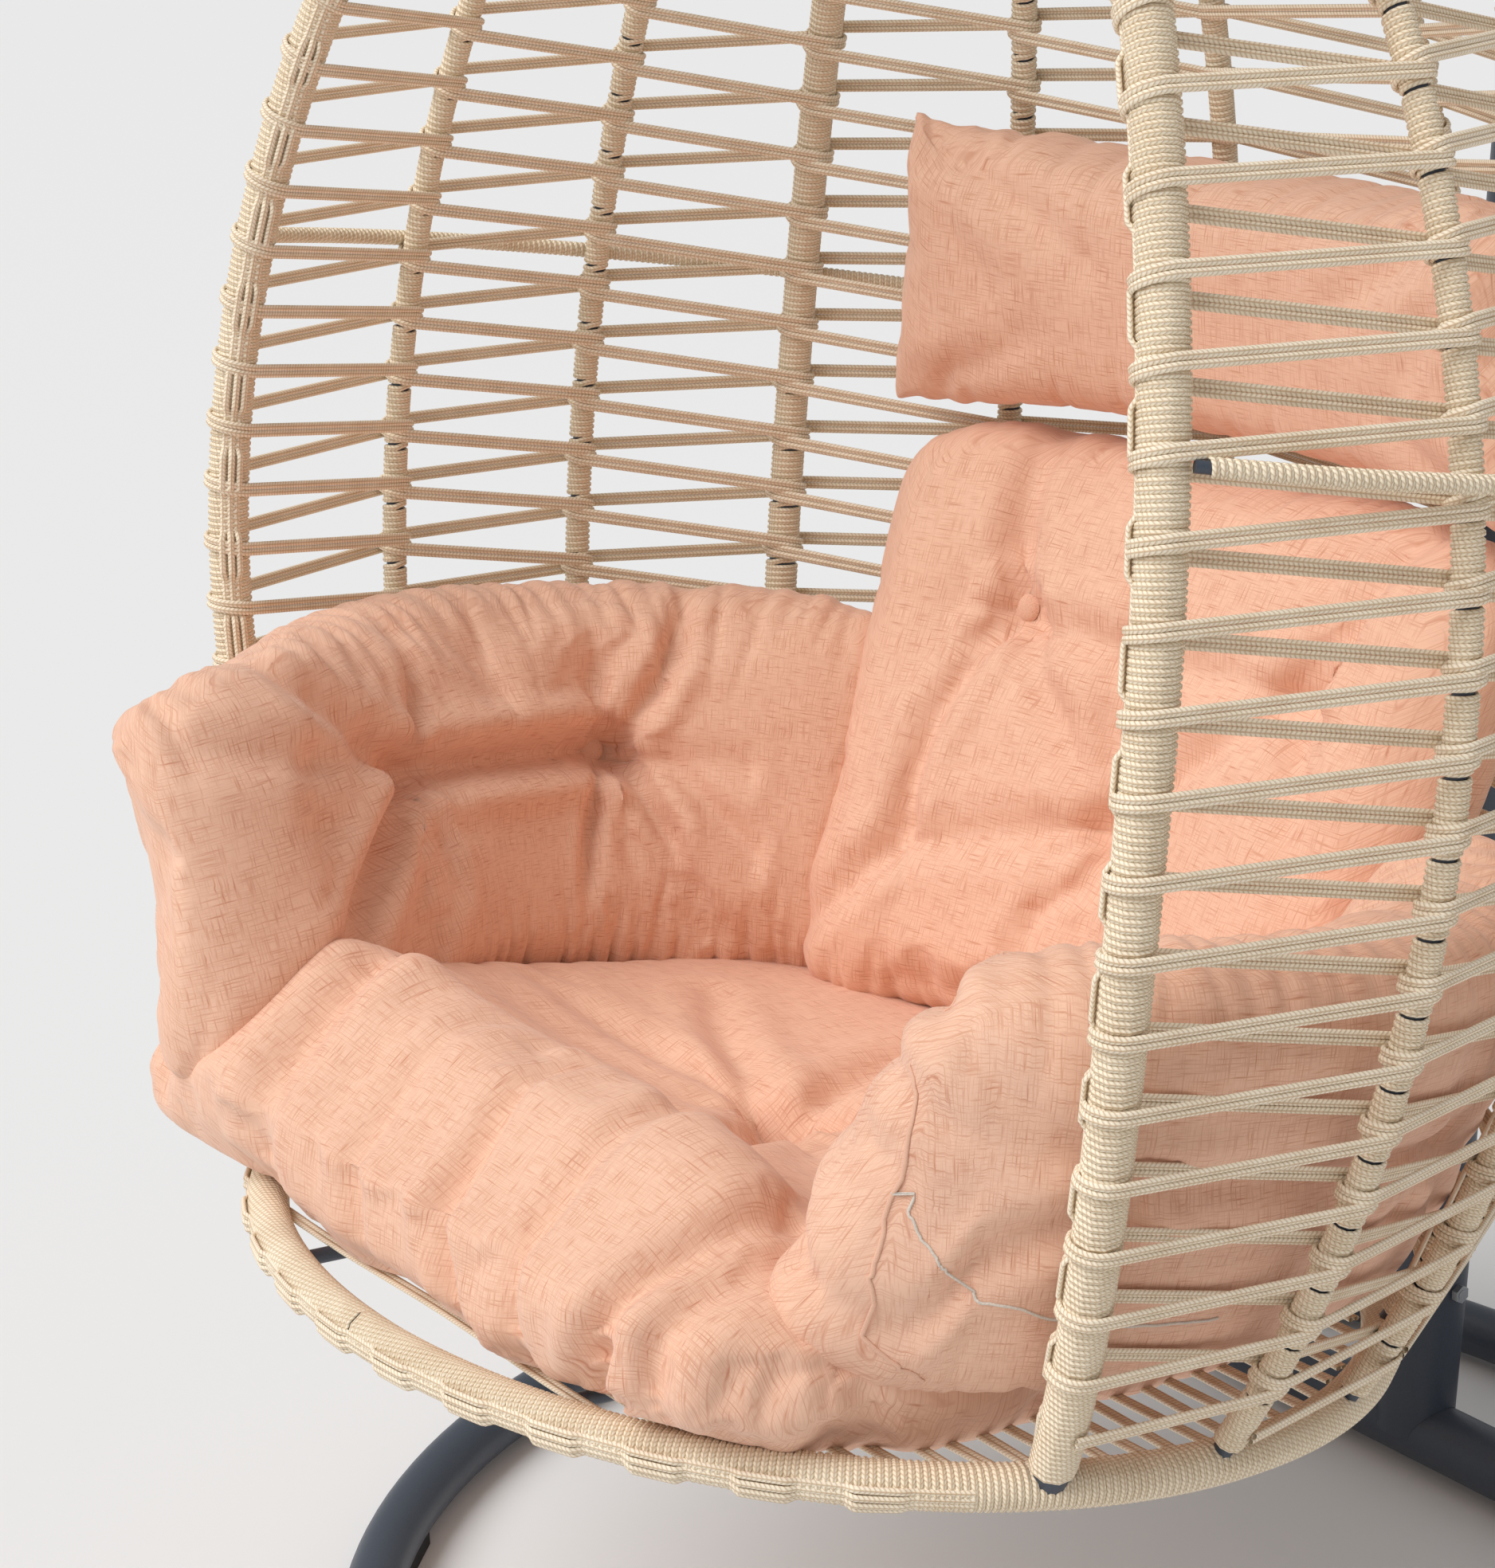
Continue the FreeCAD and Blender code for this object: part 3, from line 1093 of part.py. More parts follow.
SEAT_STATIONS = (-1, -0.93, -0.75, 0, 0.75, 0.93, 1)
seat = Part.makeLoft([seat_section(x * size("seat_half_width")) for x in SEAT_STATIONS], True, False)
seat = seat.cut(rod(ring_path, ring_wrap + size("cushion_gap")))
seat_site = (Vector(0, -size("seat_button_front"), seat_floor + size("seat_thickness")), Z_AXIS)
keep(shaped("seat", tufted(seat, [seat_site]), basket), "seat_cushion")
buttons.append(button_at(*seat_site))
keep(shaped("covered_buttons", Part.makeCompound(buttons), basket), "cushion_buttons")


# Checks and files

doc.recompute()
for thing in doc.Objects:
    if "Invalid" in thing.State or "Error" in thing.State:
        raise RuntimeError(f"{thing.Label} failed: {thing.State}")
for thing in parts:
    if thing.Shape.isNull() or not thing.Shape.isValid() or not thing.Shape.Solids:
        raise RuntimeError(f"{thing.Label} has no valid solid")
os.makedirs("parts", exist_ok=True)
for thing in parts:
    thing.Shape.exportStep(f"parts/{thing.Label}.step")
print(f"{len(parts)} nodes written")
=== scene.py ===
# %% [markdown]
# # Hanging rope egg chair
#
# The CAD part gives every tube, joint and hanger piece. This lesson adds what is soft: rope wound
# round the tubes, ropes woven between them, and stuffed cushions. Each surface is a function of two
# parameters, evaluated on whole arrays. Metres, Z up, and the chair faces -Y.

# %% Load the frame
import bpy
import json
import numpy as np
from mathutils import Matrix
from mathutils.bvhtree import BVHTree


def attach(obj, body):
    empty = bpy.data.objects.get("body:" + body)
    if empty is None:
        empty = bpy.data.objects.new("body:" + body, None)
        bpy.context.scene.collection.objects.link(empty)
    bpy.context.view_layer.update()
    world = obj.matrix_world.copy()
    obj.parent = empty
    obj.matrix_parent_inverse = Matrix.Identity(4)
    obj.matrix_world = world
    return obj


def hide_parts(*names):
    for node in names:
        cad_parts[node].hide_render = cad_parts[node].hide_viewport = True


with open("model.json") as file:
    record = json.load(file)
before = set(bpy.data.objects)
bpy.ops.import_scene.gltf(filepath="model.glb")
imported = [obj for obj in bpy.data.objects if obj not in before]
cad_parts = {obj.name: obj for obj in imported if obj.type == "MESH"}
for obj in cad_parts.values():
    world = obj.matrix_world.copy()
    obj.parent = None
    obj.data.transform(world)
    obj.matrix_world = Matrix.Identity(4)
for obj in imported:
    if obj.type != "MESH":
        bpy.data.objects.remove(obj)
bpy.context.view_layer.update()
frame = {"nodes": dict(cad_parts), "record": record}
scene = bpy.context.scene

# %% [markdown]
# ## The egg
#
# The basket is drawn upright about its bottom ring and then leaned back by seven degrees. Its half
# sizes follow three tangent arcs: foot to belly, belly to shoulder, shoulder to crown.

# %% Shape of the egg
TILT = np.radians(7)
RING_Y, RING_Z = -0.20627, 0.382
BELLY, SHOULDER, CROWN, CROWN_R = 0.43, 0.78, 1.08, 0.055
HALF_WIDE, HALF_DEEP = (0.389, 0.511, 0.428), (0.342, 0.426, 0.357)
HUB_Y = (0.1195 - CROWN * np.sin(TILT)) / np.cos(TILT)


def unit(v):
    """v / |v| along the last axis."""
    return v / np.maximum(np.linalg.norm(v, axis=-1, keepdims=True), 1e-12)


def lean(p):
    """Basket frame to row frame: a turn of -7 degrees about X, then a shift."""
    x, y, z = np.moveaxis(np.asarray(p, float), -1, 0)
    c, s = np.cos(TILT), np.sin(TILT)
    return np.stack([x, c * y + s * z + RING_Y, c * z - s * y + RING_Z], -1)


def half(z, foot, belly, shoulder):
    """r(z) = belly - R + sqrt(R^2 - (z - z_belly)^2) up to the shoulder, then one arc to the crown."""
    low = ((belly - foot) ** 2 + BELLY ** 2) / (2 * (belly - foot))
    rise = SHOULDER - BELLY
    mid = ((belly - shoulder) ** 2 + rise ** 2) / (2 * (belly - shoulder))
    a = np.arcsin(rise / mid)
    n = np.array([-np.cos(a), -np.sin(a)])
    chord = np.array([CROWN_R - shoulder, CROWN - SHOULDER])
    top = chord @ chord / (2 * chord @ n)
    centre = np.array([shoulder, SHOULDER]) + top * n
    arc = lambda base, r, at: base - r + np.sqrt(np.maximum(r * r - (z - at) ** 2, 0))
    crown = centre[0] + np.sqrt(np.maximum(top ** 2 - (z - centre[1]) ** 2, 0))
    side = np.where(z <= SHOULDER, arc(belly, mid, BELLY), crown)
    return np.where(z <= BELLY, arc(belly, low, BELLY), side)


def egg(angle, z, out=0.0):
    """E(a, z) = ((hw + out) sin a, -(hd + out) cos a + hub shift, z); a in degrees from the front."""
    a, z = np.broadcast_arrays(np.radians(angle), np.asarray(z, float))
    wide = half(z, *HALF_WIDE) + out
    deep = half(z, *HALF_DEEP) + out
    climb = np.clip((z - SHOULDER) / (CROWN - SHOULDER), 0, 1)
    return np.stack([wide * np.sin(a), -deep * np.cos(a) + HUB_Y * climb ** 2, z], -1)


def rim_angle(z):
    """The rims bow forwards: 63.5 degrees at the belly, 69 at the foot."""
    return 63.5 + 5.5 * np.clip(1 - z / BELLY, 0, 1) ** 2


UPRIGHTS = [("rim", None, 0.011)] + [(f"rib_{i + 1}", 87 + 20.2 * i, 0.0095 if i == 2 else 0.006)
                                     for i in range(5)]


def upright(side, angle, z):
    """Centre line of a rim (angle None) or rib at heights z."""
    return egg(side * (rim_angle(z) if angle is None else angle), z)


def wall_normal(p, z):
    """Outward way of the egg's wall beside points p at heights z."""
    climb = np.clip((z - SHOULDER) / (CROWN - SHOULDER), 0, 1)
    axis = np.stack([0 * z, HUB_Y * climb ** 2, z * 0.9 + 0.05], -1)
    return unit((p - axis) * [1, 1.4, 0.8])


print("belly", egg(90, BELLY).round(3))

# %% [markdown]
# ## Meshes from grids
#
# A rope is a flat-round section carried along a path. Every rope of one piece goes into one mesh,
# with u along the rope in metres and v once round it.

# %% Grids to meshes
def tube(path, side, width, thick, around=6):
    """T(s, t) = c(s) + w/2 cos t b(s) + h/2 sin t n(s), with b beside the path and n off the wall."""
    way = unit(np.gradient(path, axis=0))
    n = unit(np.cross(way, side))
    b = np.cross(n, way)
    t = np.linspace(0, 2 * np.pi, around, endpoint=False)
    grid = (path[:, None] + width / 2 * np.cos(t)[None, :, None] * b[:, None]
            + thick / 2 * np.sin(t)[None, :, None] * n[:, None])
    run = np.concatenate([[0], np.cumsum(np.linalg.norm(np.diff(path, axis=0), axis=1))])
    return grid, run


def mesh_from(name, grids):
    """One mesh from grids of shape (S, A, 3), each closed round its second axis and open at its ends."""
    verts, quads, uvs, base = [], [], [], 0
    for grid, run in grids:
        s, a = grid.shape[:2]
        i, j = np.meshgrid(np.arange(s - 1), np.arange(a), indexing="ij")
        k = (j + 1) % a
        quad = np.stack([i * a + j, (i + 1) * a + j, (i + 1) * a + k, i * a + k], -1)
        quads.append(base + quad.reshape(-1, 4))
        u = np.stack([run[i], run[i + 1], run[i + 1], run[i]], -1).reshape(-1)
        v = (np.stack([j, j, j + 1, j + 1], -1) / a).reshape(-1)
        uvs.append(np.stack([u, v], -1))
        verts.append(grid.reshape(-1, 3))
        base += s * a
    mesh = bpy.data.meshes.new(name)
    mesh.from_pydata(np.concatenate(verts), [], np.concatenate(quads))
    mesh.uv_layers.new(name="UVMap").data.foreach_set("uv", np.concatenate(uvs).ravel())
    mesh.shade_smooth()
    obj = bpy.data.objects.new(name, mesh)
    scene.collection.objects.link(obj)
    return obj


def place(obj, body, material, slot, *nodes):
    """Ride a body, take a material, and stand for CAD nodes; slot is not used."""
    obj.data.materials.clear()
    obj.data.materials.append(material)
    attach(obj, body)
    if nodes:
        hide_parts(*nodes)
    return obj


# %% [markdown]
# ## Materials
#
# Each material is a small node tree. Rope has a braid of V stitches in its u and v, and its colour is
# painted shade: darker where the braid is low, in its grooves. Cushion cloth has slubs along its u and
# its v, which are measured in metres over the cushion's face.

# %% Node helpers
def tree_of(name):
    """A new material with an output and a principled shader."""
    mat = bpy.data.materials.new(name)
    mat.use_nodes = True
    return mat, mat.node_tree, mat.node_tree.nodes["Principled BSDF"]


def add(tree, kind, links=None, **fields):
    """Add a node, set its fields, and link or set its inputs."""
    node = tree.nodes.new(kind)
    for field, value in fields.items():
        setattr(node, field, value)
    for key, value in (links or {}).items():
        if isinstance(value, bpy.types.NodeSocket):
            tree.links.new(value, node.inputs[key])
        else:
            node.inputs[key].default_value = value
    return node


def maths(tree, how, a, b=0.0):
    """One arithmetic node."""
    return add(tree, "ShaderNodeMath", {0: a, 1: b}, operation=how).outputs[0]


def noise(tree, where, scale, detail):
    """A fractal noise value at a place."""
    return add(tree, "ShaderNodeTexNoise", {"Vector": where, "Scale": scale, "Detail": detail}).outputs[0]


def ramp(tree, value, stops):
    """A colour ramp with stops (place, rgb)."""
    node = add(tree, "ShaderNodeValToRGB", {0: value})
    while len(node.color_ramp.elements) < len(stops):
        node.color_ramp.elements.new(0.5)
    for element, (at, rgb) in zip(node.color_ramp.elements, stops):
        element.position = at
        element.color = (*rgb, 1)
    return node.outputs[0]


def rgb(r, g, b):
    """Screen colour 0..255 to linear."""
    c = np.array([r, g, b]) / 255
    return tuple(np.where(c <= 0.04045, c / 12.92, ((c + 0.055) / 1.055) ** 2.4).tolist())


def bump(tree, shader, height, strength, distance):
    """Feed a height into the shader's normal."""
    node = add(tree, "ShaderNodeBump", {"Height": height, "Strength": strength, "Distance": distance})
    tree.links.new(node.outputs[0], shader.inputs["Normal"])


# %% Metal, rubber and plastic
def plain(name, colour, metallic, roughness, grain=0.0, scale=900.0):
    """A coat with fine grain in its colour and its height."""
    mat, tree, shader = tree_of(name)
    where = add(tree, "ShaderNodeTexCoord").outputs["Object"]
    speck = noise(tree, where, scale, 3.0)
    tint = ramp(tree, speck, [(0.3, tuple(0.88 * c for c in colour)), (0.7, tuple(1.1 * c for c in colour))])
    tree.links.new(tint, shader.inputs["Base Color"])
    shader.inputs["Metallic"].default_value = metallic
    shader.inputs["Roughness"].default_value = roughness
    bump(tree, shader, speck, grain, 0.0004)
    return mat


COAT = plain("powder_coat", rgb(62, 70, 82), 0.0, 0.42, 0.25)
ZINC = plain("zinc_steel", rgb(170, 174, 178), 0.9, 0.35, 0.1)
RUBBER = plain("pad_rubber", rgb(26, 26, 28), 0.0, 0.8, 0.3)
CAP = plain("cap_plastic", rgb(36, 40, 46), 0.0, 0.6, 0.2)


# %% Rope
def braided(name, light, dark, stitch):
    """Braid: height = sqrt|sin(pi (u / stitch + 1.6 f))| min(9 f, 1), where f = |fract(2 v) - 1/2|."""
    mat, tree, shader = tree_of(name)
    coords = add(tree, "ShaderNodeTexCoord")
    uv = add(tree, "ShaderNodeSeparateXYZ", {0: coords.outputs["UV"]}).outputs
    half_turn = maths(tree, "FRACT", maths(tree, "MULTIPLY", uv[1], 2.0))
    fold = maths(tree, "ABSOLUTE", maths(tree, "SUBTRACT", half_turn, 0.5))
    phase = maths(tree, "ADD", maths(tree, "MULTIPLY", uv[0], 1 / stitch), maths(tree, "MULTIPLY", fold, 1.6))
    wave = maths(tree, "ABSOLUTE", maths(tree, "SINE", maths(tree, "MULTIPLY", phase, np.pi)))
    spine = maths(tree, "MINIMUM", maths(tree, "MULTIPLY", fold, 9.0), 1.0)
    height = maths(tree, "MULTIPLY", maths(tree, "POWER", wave, 0.5), spine)
    mottle = noise(tree, coords.outputs["Object"], 45.0, 4.0)
    # Painted shade: dark where the braid is low, in its grooves; the mottle is the rope's own uneven tone.
    shade = maths(tree, "ADD", maths(tree, "MULTIPLY", height, 0.72), maths(tree, "MULTIPLY", mottle, 0.4))
    middle = tuple(0.5 * (a + b) for a, b in zip(light, dark))
    tint = ramp(tree, shade, [(0.15, dark), (0.55, middle), (0.95, light)])
    tree.links.new(tint, shader.inputs["Base Color"])
    shader.inputs["Roughness"].default_value = 0.72
    bump(tree, shader, height, 0.6, 0.0005)
    return mat


# Light and dark ends of each rope's colour; the dark end is painted shade for the braid's grooves.
ROPE = braided("rope", rgb(250, 238, 216), rgb(200, 168, 130), 0.0028)
WOUND = braided("wound_rope", rgb(249, 237, 214), rgb(204, 174, 136), 0.0028)


# %% Cushion cloth
def linen(name, light, dark):
    """Cloth: noise stretched along u and along v gives long thin slubs; where one is low, it is dark."""
    mat, tree, shader = tree_of(name)
    coords = add(tree, "ShaderNodeTexCoord").outputs
    slubs = []
    for stretch in ((48, 1000, 1), (1000, 48, 1)):
        scaled = add(tree, "ShaderNodeVectorMath", {0: coords["UV"], 1: stretch}, operation="MULTIPLY")
        slubs.append(noise(tree, scaled.outputs[0], 1.0, 2.0))
    threads = maths(tree, "MINIMUM", slubs[0], slubs[1])
    broad = maths(tree, "SUBTRACT", noise(tree, coords["Object"], 11.0, 3.0), 0.5)
    shade = maths(tree, "ADD", threads, maths(tree, "MULTIPLY", broad, 0.14))
    middle = tuple(0.4 * a + 0.6 * b for a, b in zip(dark, light))
    tint = ramp(tree, shade, [(0.24, dark), (0.38, middle), (0.52, light)])
    tree.links.new(tint, shader.inputs["Base Color"])
    shader.inputs["Roughness"].default_value = 0.9
    shader.inputs["Sheen Weight"].default_value = 0.2
    bump(tree, shader, threads, 0.4, 0.0005)
    return mat


CLOTH = linen("cushion_fabric", rgb(238, 193, 166), rgb(204, 140, 110))
print("materials", len(bpy.data.materials))

# %% [markdown]
# ## CAD pieces that stay in view

# %% Give every CAD node its coat
by_slot = {"powder_coat": COAT, "zinc_steel": ZINC, "pad_rubber": RUBBER, "cap_plastic": CAP,
           "rope": ROPE, "cushion_fabric": CLOTH}
for part in frame["record"]["subparts"]:
    node = frame["nodes"][part["node"]]
    node.data.materials.clear()
    node.data.materials.append(by_slot[part["material_slot"]])

# %% [markdown]
# ## Rope wound round the tubes
#
# A turn rises by one rope's width. On the ribs, a narrow gap after every tenth turn shows bare
# steel, where a woven band crosses on the outside.

# %% Helix along a tube
PITCH, GAP, TURNS_A_BLOCK, STEPS_A_TURN, PERIOD = 0.0042, 0.0018, 10, 10, 0.042


def helix(centre, normal, radius, start, end, pitch=PITCH, block=TURNS_A_BLOCK, gap=GAP, thick=0.003):
    """H(k) = c(s) + r (cos 2 pi k n + sin 2 pi k b), s = start + pitch k + gap floor(k / block)."""
    run = np.concatenate([[0], np.cumsum(np.linalg.norm(np.diff(centre, axis=0), axis=1))])
    per_block = pitch * block + gap
    turns = (end - start) / per_block * block
    k = np.arange(0, turns, 1 / STEPS_A_TURN)
    s = start + pitch * k + gap * np.floor(k / block)
    at = lambda values: np.stack([np.interp(s, run, values[:, i]) for i in range(3)], -1)
    way = unit(at(np.gradient(centre, axis=0)))
    n = unit(at(normal) - way * np.sum(at(normal) * way, -1, keepdims=True))
    b = np.cross(way, n)
    turn = 2 * np.pi * k[:, None] + np.pi
    path = at(centre) + (radius + thick / 2) * (np.cos(turn) * n + np.sin(turn) * b)
    return tube(path, way, pitch * 1.04, thick)


# %% Wind the uprights
HOOP_Z, RIM_OUT, SLACK = 0.583, 0.0113, 0.0003
for side, word in ((-1, "left"), (1, "right")):
    for name, angle, radius in UPRIGHTS:
        z = np.concatenate([np.linspace(0.017, 0.9, 260), np.linspace(0.9, 1.058, 120)[1:]])
        line = upright(side, angle, z)
        normal = wall_normal(line, z)
        length = np.linalg.norm(np.diff(line, axis=0), axis=1).sum()
        turns = helix(lean(line), lean(line + normal) - lean(line), radius + SLACK, 0, length,
                      gap=0.0 if name == "rim" else GAP)
        wound = mesh_from(f"wound_{name}_{word}", [turns])
        place(wound, "basket", WOUND, "rope", *([f"rope_wrap_{word}"] if name == "rim" else []))
print("uprights wound")

# %% Wind the bottom ring and the hoop
a = np.linspace(0, 360, 720)
ring_line = egg(a, 0 * a)
ring_turns = helix(lean(ring_line), lean(ring_line + unit(ring_line)) - lean(ring_line), RIM_OUT, 0,
                   np.linalg.norm(np.diff(ring_line, axis=0), axis=1).sum(), gap=0.0)
place(mesh_from("wound_ring", [ring_turns]), "basket", WOUND, "rope", "rope_wrap_ring")
a = np.linspace(66, 294, 460)
hoop_line = egg(a, HOOP_Z + 0.0254 * np.cos(np.radians(a)), 0.0133)
out = unit(hoop_line - [0, 0, HOOP_Z])
hoop_turns = helix(lean(hoop_line), lean(hoop_line + out) - lean(hoop_line), 0.0037, 0,
                   np.linalg.norm(np.diff(hoop_line, axis=0), axis=1).sum(), gap=0.0, thick=0.002)
place(mesh_from("wound_hoop", [hoop_turns]), "basket", WOUND, "rope", "rope_wrap_hoop")
print("ring and hoop wound")

# %% [markdown]
# ## Ropes along the rims and the ring
#
# Straight ropes run along the rims and the front of the ring. They dive under a block of turns and
# come out over the next, so that the rim shows a ladder of bright windows.

# %% Ladders
def ladder(centre, normal, turn, radius, window):
    """L(s) = c(s) + r(s) (cos a n + sin a b), with r swinging from under the turns to over them."""
    run = np.concatenate([[0], np.cumsum(np.linalg.norm(np.diff(centre, axis=0), axis=1))])
    way = unit(np.gradient(centre, axis=0))
    n = unit(normal - way * np.sum(normal * way, -1, keepdims=True))
    out = np.cos(turn) * n + np.sin(turn) * np.cross(way, n)
    inside = np.minimum(1, np.minimum(run, run[-1] - run) / window)
    lift = inside * np.clip(0.5 + 1.8 * np.sin(2 * np.pi * run / window), 0, 1)
    path = centre + out * (radius + 0.0012 + 0.0036 * lift)[:, None]
    return tube(path, np.cross(way, out), 0.0046, 0.003, 8)


z = np.linspace(0.03, 1.0, 500)
for side, word in ((-1, "left"), (1, "right")):
    line = upright(side, None, z)
    ahead = np.broadcast_to(egg(side * 40, 0.4) - egg(side * 63, 0.4), line.shape)
    ropes = [ladder(lean(line), lean(line + ahead) - lean(line), side * turn, RIM_OUT, 0.058)
             for turn in (-0.75, -0.38, 0.0)]
    place(mesh_from(f"ladder_{word}", ropes), "basket", ROPE, "rope")
a = np.linspace(-62, 62, 420)
line = egg(a, 0 * a)
down = unit(line * [1, 1, 0]) - [0, 0, 0.55]
ropes = [ladder(lean(line), lean(line + down) - lean(line), turn, RIM_OUT, 0.062)
         for turn in (-0.66, -0.33, 0.0, 0.33)]
place(mesh_from("ladder_ring", ropes), "basket", ROPE, "rope")
print("ladders")

# %% [markdown]
# ## Woven bands
#
# In each gap between two uprights one band runs in Vs: across on the outside, round the far
# upright, back on the inside and round the near one. A band is a pair of ropes side by side.

# %% One band between two uprights
ROPE_W, ROPE_T, CLEAR = 0.0047, 0.0032, 0.0048
WEAVE_FOOT, WEAVE_TOP, APEX = 0.03, 0.99, 0.007


def band(near, far, start, stop, apex, lift):
    """Path: out along the outside, a half turn round far, back inside, a half turn round near."""
    (near_line, near_r), (far_line, far_r) = near, far
    count = int((stop - start) / PERIOD)
    k = np.arange(count)[:, None] * PERIOD + start
    share = np.linspace(0, 1, 9)[None]
    arc = np.linspace(0, np.pi, 9)[None, 1:-1]
    near_out, far_out = near_r + CLEAR, far_r + CLEAR
    rise = PERIOD / 2 - apex
    z = k + lift + np.concatenate([rise * share, rise + apex * arc / np.pi, PERIOD / 2 + rise * share,
                                   PERIOD - apex + apex * arc / np.pi], 1)
    rows = lambda *parts: np.concatenate([part + 0 * k for part in parts], 1)
    across = rows(share, 1 + 0 * arc, 1 - share, 0 * arc)
    deep = rows(1 + 0 * share, np.cos(arc), -1 + 0 * share, -np.cos(arc))
    beyond = rows(0 * share, np.sin(arc), 0 * share, -np.sin(arc))
    z, across, deep, beyond = (v.reshape(-1) for v in (z, across, deep, beyond))
    a, b = near_line(z), far_line(z)
    chord = unit(b - a)
    up = unit((near_line(z + 0.002) + far_line(z + 0.002)) - a - b)
    off = np.cross(chord, up)
    mid = a + (b - a) * across[:, None]
    off *= np.sign(np.sum(off * wall_normal(mid, z), -1, keepdims=True))
    reach = (near_out * (1 - across) + far_out * across)[:, None]
    path = mid + off * deep[:, None] * reach + chord * beyond[:, None] * reach
    return path, up


# %% Weave all panels
def pair(path, up, spread=0.0024):
    """Two ropes beside each other along the path."""
    side = lean(path + up) - lean(path)
    return [tube(lean(path + up * s), side, ROPE_W, ROPE_T, 8) for s in (-spread, spread)]


for side, word in ((-1, "left"), (1, "right")):
    for i in range(5):
        ends = []
        for name, angle, radius in UPRIGHTS[i:i + 2]:
            ends.append((lambda z, angle=angle: upright(side, angle, z), radius))
        path, up = band(*ends, WEAVE_FOOT, WEAVE_TOP, APEX, 0.0 if i % 2 else PERIOD / 2)
        node = f"weave_rim_{word}" if i == 0 else f"weave_rib_{word}_{i}"
        place(mesh_from(f"ropes_{word}_{i}", pair(path, up)), "basket", ROPE, "rope", node)
angle, radius = UPRIGHTS[-1][1:]
ends = [(lambda z, side=side: upright(side, angle, z), radius) for side in (1, -1)]
path, up = band(*ends, WEAVE_FOOT, WEAVE_TOP, APEX, PERIOD / 2)
place(mesh_from("ropes_back", pair(path, up)), "basket", ROPE, "rope", "weave_back")
print("panels woven")

# %% Weave the floor
ROWS, ROW_STEP, FIRST_ROW, FLOOR_WIDE, FLOOR_DEEP = 26, 0.0216, -0.285, 0.374, 0.328
rows = np.arange(ROWS)
y = FIRST_ROW + rows * ROW_STEP
wide = FLOOR_WIDE * np.sqrt(1 - (np.abs(y + 0.005) / FLOOR_DEEP) ** 2)
t = np.linspace(-1, 1, 15)
ropes = []
for row in rows:
    x = wide[row] * t
    line = np.stack([x, y[row] + 0 * x, 0.0012 * np.cos(np.pi * (x / 0.13 + row))], -1)
    ropes += pair(line, np.broadcast_to([0, 1, 0], line.shape), 0.0025)
place(mesh_from("ropes_floor", ropes), "basket", ROPE, "rope", "weave_floor")
print("floor woven")

# %% [markdown]
# ## Cushions
#
# A cushion is a soft-edged section carried along a line of frames. A short cloth simulation with
# inner pressure rounds its cover. Then a map of folds is pressed in along the normals: dimples and
# rays at the buttons, valleys between them, and short gathers along the seams.

# %% Cushion surfaces
def power(v, p):
    """sign(v) |v|^p, which squares or rounds a section."""
    return np.sign(v) * np.abs(v) ** p


def wall_frame(angle, z, inside):
    """Centre, inward and upward ways on the wall at angles, a distance inside it."""
    p = egg(angle, z + 0 * angle)
    up = unit(egg(angle, z + 0.005 + 0 * angle) - egg(angle, z - 0.005 + 0 * angle))
    along = unit(egg(angle + 0.5, z + 0 * angle) - egg(angle - 0.5, z + 0 * angle))
    inward = np.cross(up, along)
    inward *= -np.sign(np.sum(inward * (p - [0, 0, z]), -1, keepdims=True))
    return p + inward * inside, inward, up


def closed(grid):
    """Close a grid's first and last rows to points."""
    return np.concatenate([0 * grid[:1] + grid[:1].mean(1, keepdims=True), grid,
                           0 * grid[-1:] + grid[-1:].mean(1, keepdims=True)])


def cushion_grid(frames, thick, high, ends=8.0, left=0.4, square=0.5, ears=0.0):
    """C(s, t) = c(s) + H(s)/2 |cos t|^q up + T(s)/2 |sin t|^0.8 inward; ears lengthen the corners."""
    centre, inward, up = (v[:, None] for v in frames)
    s = np.linspace(-1, 1, len(frames[0]))[:, None, None]
    full = np.sqrt(np.maximum(1 - np.abs(s) ** ends, 0.03))
    t = np.linspace(0, 2 * np.pi, 160, endpoint=False)[None, :, None]
    tall = high / 2 * (left + (1 - left) * full + ears * np.abs(s) ** 3) * power(np.cos(t), square)
    return closed(centre + up * tall + inward * thick / 2 * full * power(np.sin(t), 0.8))


BUTTON_PULL, BUTTON_SPREAD = 0.017, 0.032


def pulled(grid, places):
    """Pull a grid in at its buttons, p - d exp(-r^2 / 2 w^2) inward; returns it and the lowered places."""
    for spot, off in places:
        r2 = np.sum((grid - spot) ** 2, -1, keepdims=True)
        grid = grid - off * BUTTON_PULL * np.exp(-r2 / (2 * BUTTON_SPREAD ** 2))
    return grid, [spot - off * BUTTON_PULL for spot, off in places]


# %% Folds
def valley(u, v, a, b, depth, width=0.011, bow=0.0):
    """-d f(q) (exp(-r^2) - shoulder(r)); f grows over 30 mm from a and fades to b, r is in widths."""
    way = np.subtract(b, a)
    span = np.hypot(*way)
    along = ((u - a[0]) * way[0] + (v - a[1]) * way[1]) / span
    q = np.clip(along / span, 0, 1)
    beside = ((v - a[1]) * way[0] - (u - a[0]) * way[1]) / span - 4 * bow * q * (1 - q)
    r = np.hypot(along - q * span, beside) / width
    fade = (1 - 0.6 * q) * np.minimum(1, 0.15 + q * span / 0.03)
    return -depth * fade * (np.exp(-r ** 2) - 0.4 * np.exp(-((r - 2.2) / 1.1) ** 2))


